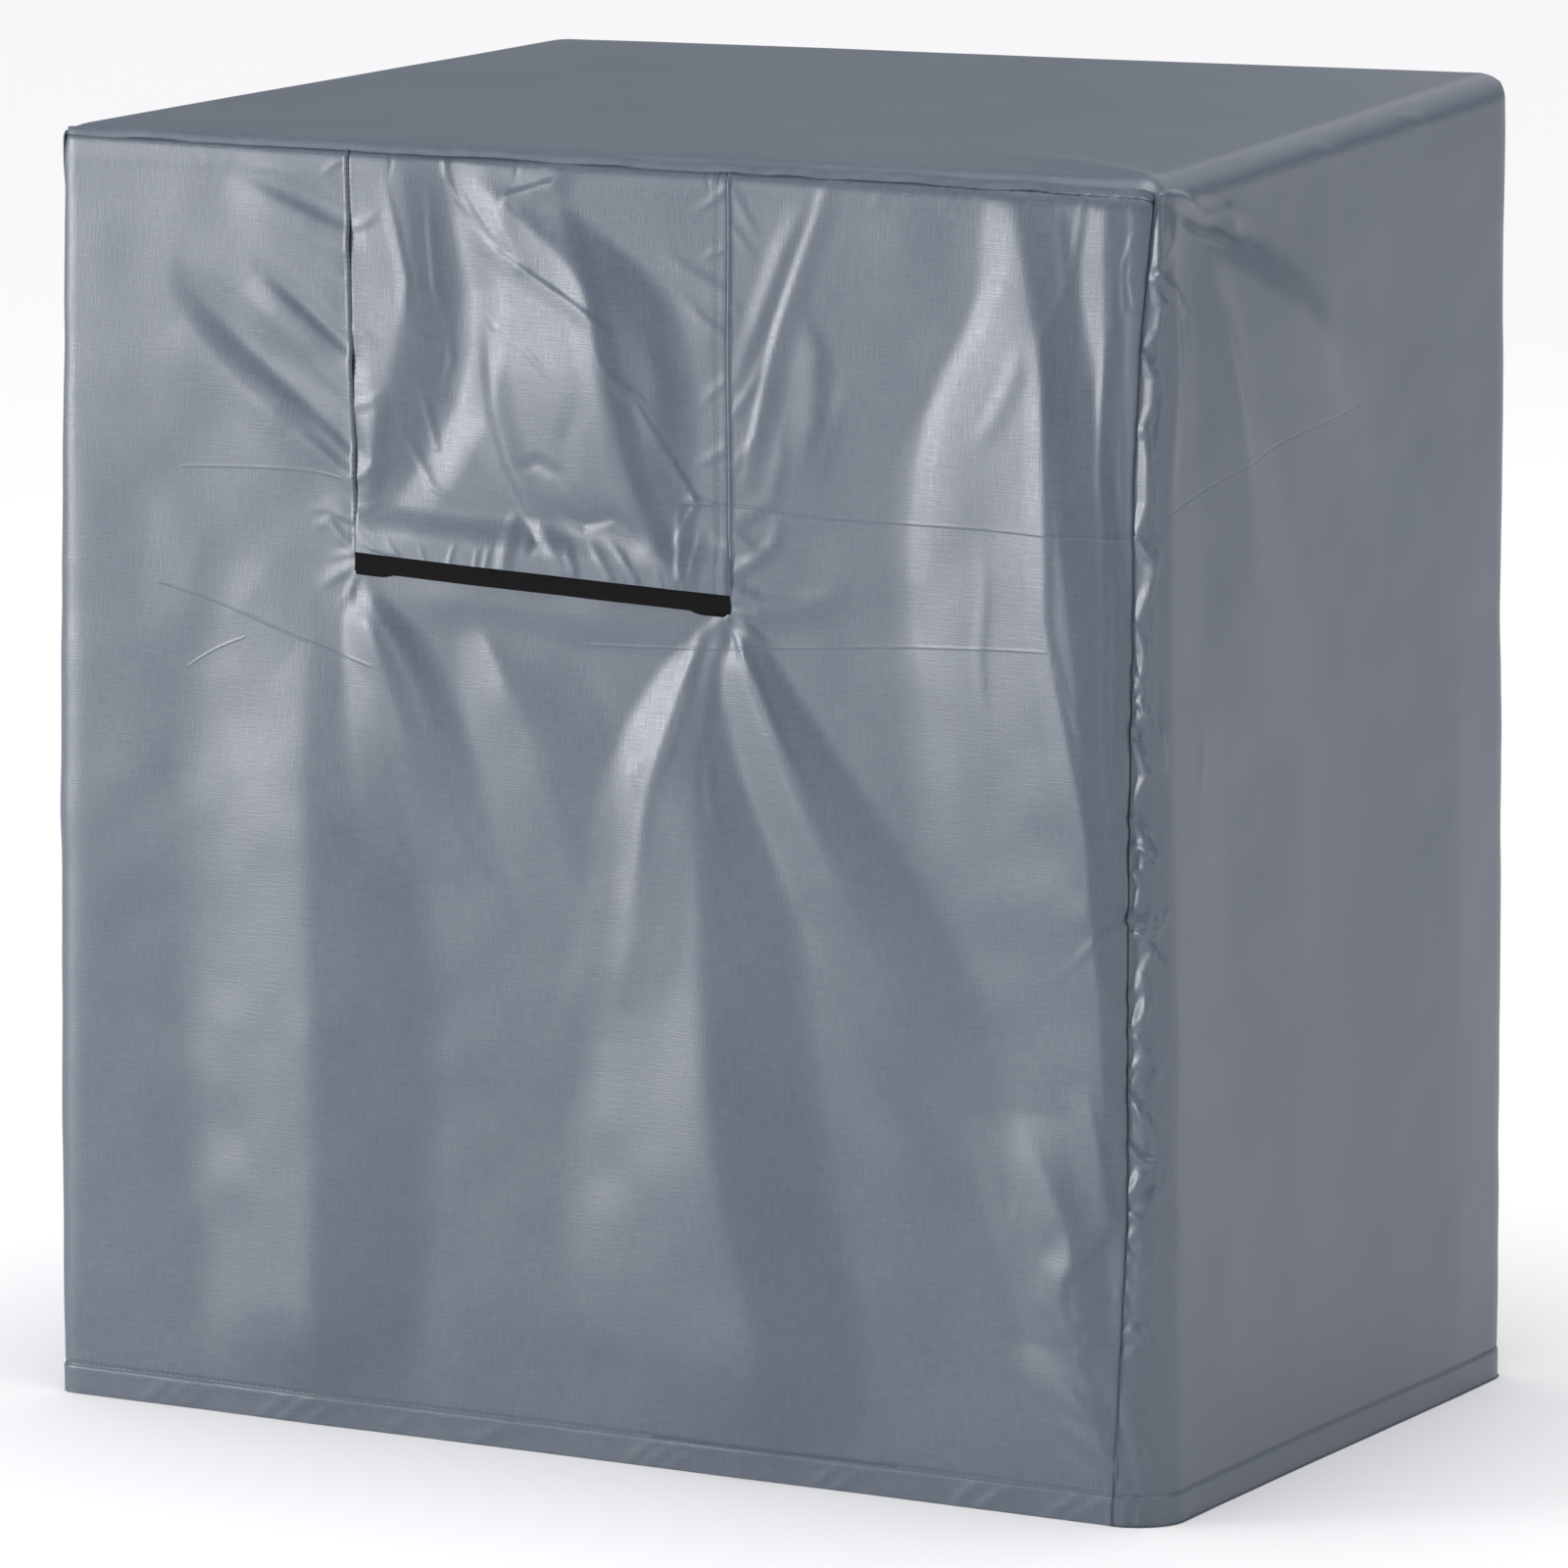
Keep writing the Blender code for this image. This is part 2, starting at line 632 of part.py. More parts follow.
def make_tape(name, level, top, foot, material):
    """A flat strip along the flap's lower edge, from top to foot below that edge."""

    def place(column, row, inner):
        share = column / WINDOW_COLUMNS
        first = WINDOW_LEFT_FOOT - TAPE_OVERHANG
        last = WINDOW_RIGHT_FOOT + TAPE_OVERHANG
        around = first + (last - first) * share
        down = strip_top(around) + (top if row == 0 else foot)
        return on_wall(around, down, inner, level + TAPE, TAPE)

    return sheet(name, WINDOW_COLUMNS, 1, place, material)


def make_gusset(material):
    """The strip that goes up the left side, over the top and down the right side."""
    left_rows = wall_rows(PLAIN_ROWS)[::-1]
    right_rows = wall_rows(FRONT_ROWS)
    edge = WIDTH / 2.0
    spread = np.linspace(-edge + 0.060, edge - 0.060, TOP_COLUMNS)
    top_rows = rim_spaced(-edge, edge, spread)[1:-1]
    columns = len(rim_spaced(0.0, DEPTH, SIDE_COLUMNS)) - 1

    def place(column, row, inner):
        rim = GAP / 2.0 if column == 0 else -GAP / 2.0 if column == columns else 0.0
        if row < len(left_rows):
            down = left_rows[row]
            front = -left_seam(down)
            back = rim_spaced(front, DEPTH, SIDE_COLUMNS)[column] + rim
            return on_wall(-back, down, inner)
        row -= len(left_rows)
        if row < len(top_rows):
            y = rim_spaced(0.0, DEPTH, SIDE_COLUMNS)[column] + rim - DEPTH / 2.0
            return on_top(top_rows[row], y, inner)
        down = right_rows[row - len(top_rows)]
        front = right_seam(down)
        side = [front + step for step in EDGE_STEPS]
        side += [RIGHT + step for step in SIDE_COLUMNS]
        side += [BACK - step for step in reversed(EDGE_STEPS)]
        return on_wall(side[column] + rim, down, inner)

    rows = len(left_rows) + len(top_rows) + len(right_rows) - 1
    return sheet("gusset", columns, rows, place, material)


def make_back(material):
    """The plain back panel."""
    spread = np.linspace(0.070, WIDTH - 0.070, BACK_COLUMNS)
    columns = rim_spaced(0.0, WIDTH, spread)
    rows = wall_rows(PLAIN_ROWS)

    def place(column, row, inner):
        around = BACK + columns[column]
        if column == 0:
            around += GAP / 2.0
        if column == len(columns) - 1:
            around -= GAP / 2.0
        down = rows[row] + (GAP / 2.0 if row == 0 else 0.0)
        return on_wall(around, down, inner)

    return sheet("back_panel", len(columns) - 1, len(rows) - 1, place, material)


def main():
    """Clears the scene and makes the six pieces."""
    for old in list(bpy.data.objects):
        bpy.data.objects.remove(old, do_unlink=True)
    gusset_cloth = finish("gusset_cloth", CLOTH_COLOUR, CLOTH_ROUGHNESS)
    front_cloth = finish("front_cloth", CLOTH_COLOUR, CLOTH_ROUGHNESS)
    flap_cloth = finish("flap_cloth", CLOTH_COLOUR, CLOTH_ROUGHNESS)
    back_cloth = finish("back_cloth", CLOTH_COLOUR, CLOTH_ROUGHNESS)
    loop_tape = finish("loop_tape", TAPE_COLOUR, TAPE_ROUGHNESS)
    hook_tape = finish("hook_tape", TAPE_COLOUR, TAPE_ROUGHNESS)
    make_gusset(gusset_cloth)
    make_front(front_cloth)
    make_flap(flap_cloth)
    make_back(back_cloth)
    rear = GAP
    front = GAP + TAPE + GAP
    make_tape("panel_tape", rear, REAR_TAPE_TOP, REAR_TAPE_SHOWS, hook_tape)
    make_tape("flap_tape", front, -TAPE_TUCK, TAPE_SHOWS, loop_tape)


main()
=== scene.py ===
"""Looks of a fitted cloth cover for an outdoor cooling unit.

The cover hangs on a rounded box. A place on its walls is given by two lengths in
metres: around, from the front left corner to the right along the front, and down,
from the top edge. Every panel is a fine grid on that shape, with the folds of the
solids and smaller ones on top, and its UV map holds (around, -down).
"""

import logging
from dataclasses import dataclass
from enum import Enum
from math import cos, pi, radians, sin
from typing import Callable, NamedTuple, Sequence, Union

import bmesh
import bpy
import numpy as np
from mathutils import Euler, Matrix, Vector


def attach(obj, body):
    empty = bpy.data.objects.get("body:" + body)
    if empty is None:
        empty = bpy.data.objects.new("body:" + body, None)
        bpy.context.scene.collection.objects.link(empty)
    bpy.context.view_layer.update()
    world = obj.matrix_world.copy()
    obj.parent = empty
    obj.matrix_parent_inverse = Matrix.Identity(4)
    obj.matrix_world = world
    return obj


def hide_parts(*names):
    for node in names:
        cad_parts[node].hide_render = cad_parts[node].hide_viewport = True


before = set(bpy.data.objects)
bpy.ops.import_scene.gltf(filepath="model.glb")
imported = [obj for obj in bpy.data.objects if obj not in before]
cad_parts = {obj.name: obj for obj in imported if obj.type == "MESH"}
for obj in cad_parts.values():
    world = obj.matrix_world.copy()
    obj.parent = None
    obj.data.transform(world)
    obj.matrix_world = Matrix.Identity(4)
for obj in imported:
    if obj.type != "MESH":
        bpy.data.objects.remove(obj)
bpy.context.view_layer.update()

log = logging.getLogger("cover")
Array = np.ndarray

WIDTH = 0.842
DEPTH = 0.574
HEIGHT = 0.920
MILLIMETRES = 1000.0
TOP_LEVEL = 0.0020
RIGHT = WIDTH
BACK = WIDTH + DEPTH
BACK_LEFT = BACK + WIDTH
CLOTH = 0.0012
TAPE = 0.0010
SOLID_CLOTH = 0.0020
GAP = 0.00035
HEM = 0.0215

# Relief of the hem, and how far back the front's top edge lies
HEM_GROOVE = 0.0008
HEM_RISE = 0.0008
TOP_TUCK = 0.0018
TOP_TUCK_RUN = 0.024

# The second row of stitches beside the flap's right seam lies in a groove of its own
STITCH_ROW_OFF = 0.0075
STITCH_GROOVE = 0.0005

# Grid lines beside every seam, close together so that welts and grooves have a shape
SEAM_LINES = (0.0, 0.0005, 0.0010, 0.0016, 0.0024, 0.0036, 0.0052, 0.0075, 0.0105)
TOP_CALM = 0.030
HEM_HOLD = 0.35


class Run(Enum):
    """Which way a fold's crest runs."""

    DOWN = "down"
    ACROSS = "across"


class Section(NamedTuple):
    """One section of a fold: where along its run, crest, flank reaches and height."""

    at: float
    crest: float
    before: float
    after: float
    height: float


class Fold(NamedTuple):
    """A ridge, or a trough where the height is negative."""

    runs: Run
    sections: tuple
    crest_round: float = 0.12
    foot_round: float = 0.15


class Corner(NamedTuple):
    """A corner of the hung cover: shift from a true box and edge radius."""

    right: int
    back: int
    low: int
    shift_x: float
    shift_y: float
    shift_z: float
    radius: float


class Inset(NamedTuple):
    """How far in from the right corner the front's seam lies."""

    down: float
    inset: float


class Wrinkle(NamedTuple):
    """A narrow fold along a path, in millimetres as the photograph shows them.

    The reaches lie to the left and to the right of a path that runs down the picture,
    and to its lower and upper side where it runs to the right. Each place holds
    around, down and height.
    """

    left: float
    right: float
    path: tuple


class Crease(NamedTuple):
    """A pressed line left by packing, drawn as bump: its places and its depth."""

    points: tuple
    depth: float


CORNERS = (
    Corner(0, 0, 0, -0.014, -0.007, -0.012, 0.010),
    Corner(1, 0, 0, 0.013, 0.004, -0.008, 0.020),
    Corner(1, 1, 0, -0.006, -0.007, 0.020, 0.020),
    Corner(0, 1, 0, 0.027, 0.017, 0.005, 0.022),
    Corner(0, 0, 1, -0.025, -0.009, 0.000, 0.012),
    Corner(1, 0, 1, 0.015, 0.011, 0.000, 0.036),
    Corner(1, 1, 1, 0.000, -0.010, 0.000, 0.020),
    Corner(0, 1, 1, 0.010, 0.006, 0.000, 0.020),
)

RIGHT_SEAM = (
    Inset(0.000, 0.000),
    Inset(0.040, 0.006),
    Inset(0.100, 0.013),
    Inset(0.200, 0.019),
    Inset(0.300, 0.019),
    Inset(0.500, 0.022),
    Inset(0.700, 0.023),
    Inset(0.800, 0.028),
    Inset(0.920, 0.034),
)

MAIN_FOLDS = (
    # Long fold under the window's left end
    Fold(Run.DOWN, (
        Section(0.300, 0.203, 0.060, 0.050, 0.000),
        Section(0.430, 0.200, 0.085, 0.070, 0.007),
        Section(0.560, 0.205, 0.090, 0.080, 0.011),
        Section(0.720, 0.208, 0.085, 0.080, 0.012),
        Section(0.860, 0.206, 0.080, 0.070, 0.011),
        Section(0.920, 0.205, 0.070, 0.070, 0.004),
    )),
    # Long fold under the window's right end
    Fold(Run.DOWN, (
        Section(0.330, 0.512, 0.020, 0.015, 0.000),
        Section(0.400, 0.497, 0.045, 0.030, 0.004),
        Section(0.520, 0.505, 0.058, 0.060, 0.008),
        Section(0.700, 0.520, 0.100, 0.070, 0.014),
        Section(0.810, 0.545, 0.115, 0.070, 0.014),
        Section(0.870, 0.545, 0.095, 0.070, 0.010),
        Section(0.915, 0.535, 0.070, 0.070, 0.002),
    )),
    # Broad fold beside the right corner
    Fold(Run.DOWN, (
        Section(0.010, 0.735, 0.020, 0.030, 0.002),
        Section(0.100, 0.755, 0.044, 0.030, 0.007),
        Section(0.200, 0.770, 0.098, 0.034, 0.014),
        Section(0.330, 0.788, 0.114, 0.032, 0.018),
        Section(0.470, 0.798, 0.106, 0.024, 0.017),
        Section(0.600, 0.805, 0.072, 0.014, 0.009),
        Section(0.700, 0.800, 0.055, 0.014, 0.003),
    )),
    # Narrow upright ridge between it and the corner seam
    Fold(Run.DOWN, (
        Section(0.020, 0.804, 0.016, 0.012, 0.002),
        Section(0.150, 0.802, 0.018, 0.012, 0.003),
        Section(0.300, 0.805, 0.016, 0.010, 0.002),
        Section(0.420, 0.808, 0.012, 0.008, 0.000),
    )),
    # Folds that spread from the strip's right end
    Fold(Run.DOWN, (
        Section(0.305, 0.526, 0.008, 0.010, 0.001),
        Section(0.360, 0.543, 0.024, 0.026, 0.006),
        Section(0.420, 0.572, 0.036, 0.042, 0.008),
        Section(0.500, 0.612, 0.038, 0.060, 0.006),
        Section(0.590, 0.660, 0.050, 0.070, 0.000),
    )),
    Fold(Run.DOWN, (
        Section(0.310, 0.520, 0.008, 0.008, 0.001),
        Section(0.370, 0.486, 0.022, 0.022, 0.0025),
        Section(0.440, 0.466, 0.034, 0.030, 0.0035),
        Section(0.540, 0.456, 0.040, 0.036, 0.0025),
        Section(0.620, 0.430, 0.040, 0.040, 0.000),
    )),
    # Folds that spread from the strip's left end
    Fold(Run.DOWN, (
        Section(0.300, 0.238, 0.008, 0.012, 0.001),
        Section(0.350, 0.256, 0.024, 0.034, 0.006),
        Section(0.410, 0.276, 0.040, 0.042, 0.005),
        Section(0.520, 0.300, 0.050, 0.060, 0.000),
    )),
    Fold(Run.DOWN, (
        Section(0.325, 0.335, 0.020, 0.040, 0.000),
        Section(0.390, 0.366, 0.040, 0.060, 0.005),
        Section(0.480, 0.400, 0.050, 0.070, 0.003),
        Section(0.600, 0.440, 0.050, 0.070, 0.000),
    )),
    # Slanting tucks pulled towards the window's left seam
    Fold(Run.ACROSS, (
        Section(0.135, 0.022, 0.010, 0.012, 0.000),
        Section(0.190, 0.044, 0.016, 0.018, -0.0015),
        Section(0.228, 0.060, 0.014, 0.016, -0.0012),
        Section(0.245, 0.066, 0.010, 0.012, 0.000),
    )),
    Fold(Run.ACROSS, (
        Section(0.155, 0.090, 0.012, 0.014, 0.000),
        Section(0.195, 0.120, 0.018, 0.018, -0.0018),
        Section(0.232, 0.150, 0.014, 0.016, -0.0014),
        Section(0.248, 0.158, 0.010, 0.012, 0.000),
    )),
    Fold(Run.ACROSS, (
        Section(0.090, 0.100, 0.020, 0.018, 0.000),
        Section(0.150, 0.150, 0.034, 0.026, -0.0035),
        Section(0.232, 0.212, 0.024, 0.020, -0.0024),
        Section(0.250, 0.222, 0.012, 0.012, 0.000),
    )),
    # Flap: a ridge by its left seam, the hollow beside it and the broad bulge
    Fold(Run.DOWN, (
        Section(0.010, 0.272, 0.034, 0.026, 0.001),
        Section(0.090, 0.280, 0.044, 0.032, 0.003),
        Section(0.160, 0.266, 0.034, 0.036, 0.003),
        Section(0.270, 0.242, 0.010, 0.020, 0.000),
    )),
    Fold(Run.DOWN, (
        Section(0.020, 0.330, 0.020, 0.040, 0.000),
        Section(0.090, 0.415, 0.092, 0.050, 0.009),
        Section(0.160, 0.428, 0.100, 0.060, 0.013),
        Section(0.230, 0.440, 0.080, 0.050, 0.009),
        Section(0.285, 0.470, 0.050, 0.030, 0.001),
    )),
    # Low right of the front: cloth pushed out over the corner
    Fold(Run.DOWN, (
        Section(0.640, 0.740, 0.040, 0.040, 0.000),
        Section(0.720, 0.778, 0.050, 0.022, 0.007),
        Section(0.790, 0.786, 0.040, 0.020, 0.006),
        Section(0.850, 0.800, 0.050, 0.020, 0.000),
    )),
    Fold(Run.DOWN, (
        Section(0.800, 0.750, 0.050, 0.030, 0.000),
        Section(0.850, 0.795, 0.030, 0.016, 0.005),
        Section(0.895, 0.812, 0.020, 0.012, 0.001),
    )),
    # Left edge of the front, a low swell that falls back towards the long fold
    Fold(Run.DOWN, (
        Section(0.050, 0.000, 0.040, 0.110, 0.000),
        Section(0.300, 0.018, 0.034, 0.095, 0.004),
        Section(0.700, 0.018, 0.034, 0.100, 0.005),
        Section(0.900, 0.018, 0.034, 0.090, 0.002),
    )),
    # Right side: folds drawn out of the front top corner
    Fold(Run.ACROSS, (
        Section(RIGHT + 0.020, 0.012, 0.010, 0.012, 0.000),
        Section(RIGHT + 0.075, 0.034, 0.014, 0.020, -0.006),
        Section(RIGHT + 0.120, 0.052, 0.014, 0.026, -0.005),
        Section(RIGHT + 0.170, 0.078, 0.020, 0.030, 0.000),
    )),
    Fold(Run.ACROSS, (
        Section(RIGHT + 0.060, 0.040, 0.016, 0.024, 0.001),
        Section(RIGHT + 0.160, 0.098, 0.030, 0.050, 0.007),
        Section(RIGHT + 0.250, 0.155, 0.040, 0.060, 0.005),
        Section(RIGHT + 0.340, 0.220, 0.050, 0.070, 0.000),
    )),
    Fold(Run.DOWN, (
        Section(0.040, RIGHT + 0.062, 0.016, 0.026, 0.001),
        Section(0.120, RIGHT + 0.095, 0.036, 0.030, 0.006),
        Section(0.230, RIGHT + 0.132, 0.060, 0.050, 0.005),
        Section(0.420, RIGHT + 0.165, 0.090, 0.080, 0.000),
    )),
    Fold(Run.DOWN, (
        Section(0.220, RIGHT + 0.480, 0.100, 0.060, 0.000),
        Section(0.500, RIGHT + 0.470, 0.140, 0.070, 0.005),
        Section(0.900, RIGHT + 0.480, 0.160, 0.080, 0.005),
    )),
    Fold(Run.DOWN, (
        Section(0.300, RIGHT + 0.090, 0.060, 0.080, 0.000),
        Section(0.480, RIGHT + 0.110, 0.070, 0.090, -0.004),
        Section(0.700, RIGHT + 0.120, 0.080, 0.110, 0.000),
    )),
    # Back and left side, finished plainly: a few soft folds
    Fold(Run.DOWN, (
        Section(0.080, BACK + 0.220, 0.090, 0.110, 0.000),
        Section(0.450, BACK + 0.240, 0.120, 0.120, 0.007),
        Section(0.900, BACK + 0.220, 0.120, 0.140, 0.005),
    )),
    Fold(Run.DOWN, (
        Section(0.060, BACK + 0.600, 0.080, 0.090, 0.000),
        Section(0.400, BACK + 0.580, 0.120, 0.110, 0.006),
        Section(0.900, BACK + 0.610, 0.130, 0.120, 0.006),
    )),
    Fold(Run.DOWN, (
        Section(0.060, -0.400, 0.080, 0.090, 0.000),
        Section(0.500, -0.380, 0.110, 0.120, 0.006),
        Section(0.900, -0.400, 0.120, 0.130, 0.005),
    )),
    Fold(Run.DOWN, (
        Section(0.100, -0.170, 0.070, 0.070, 0.000),
        Section(0.550, -0.180, 0.090, 0.100, 0.006),
        Section(0.900, -0.170, 0.100, 0.090, 0.004),
    )),
)

TOP_FOLDS = (
    Fold(Run.ACROSS, (
        Section(-0.400, -0.060, 0.200, 0.300, 0.000),
        Section(-0.150, -0.040, 0.200, 0.280, -0.004),
        Section(0.150, -0.020, 0.220, 0.260, -0.004),
        Section(0.400, -0.040, 0.200, 0.260, 0.000),
    )),
    Fold(Run.ACROSS, (
        Section(0.240, -0.190, 0.030, 0.030, 0.000),
        Section(0.340, -0.228, 0.024, 0.020, 0.003),
        Section(0.400, -0.262, 0.016, 0.014, 0.002),
    )),
)

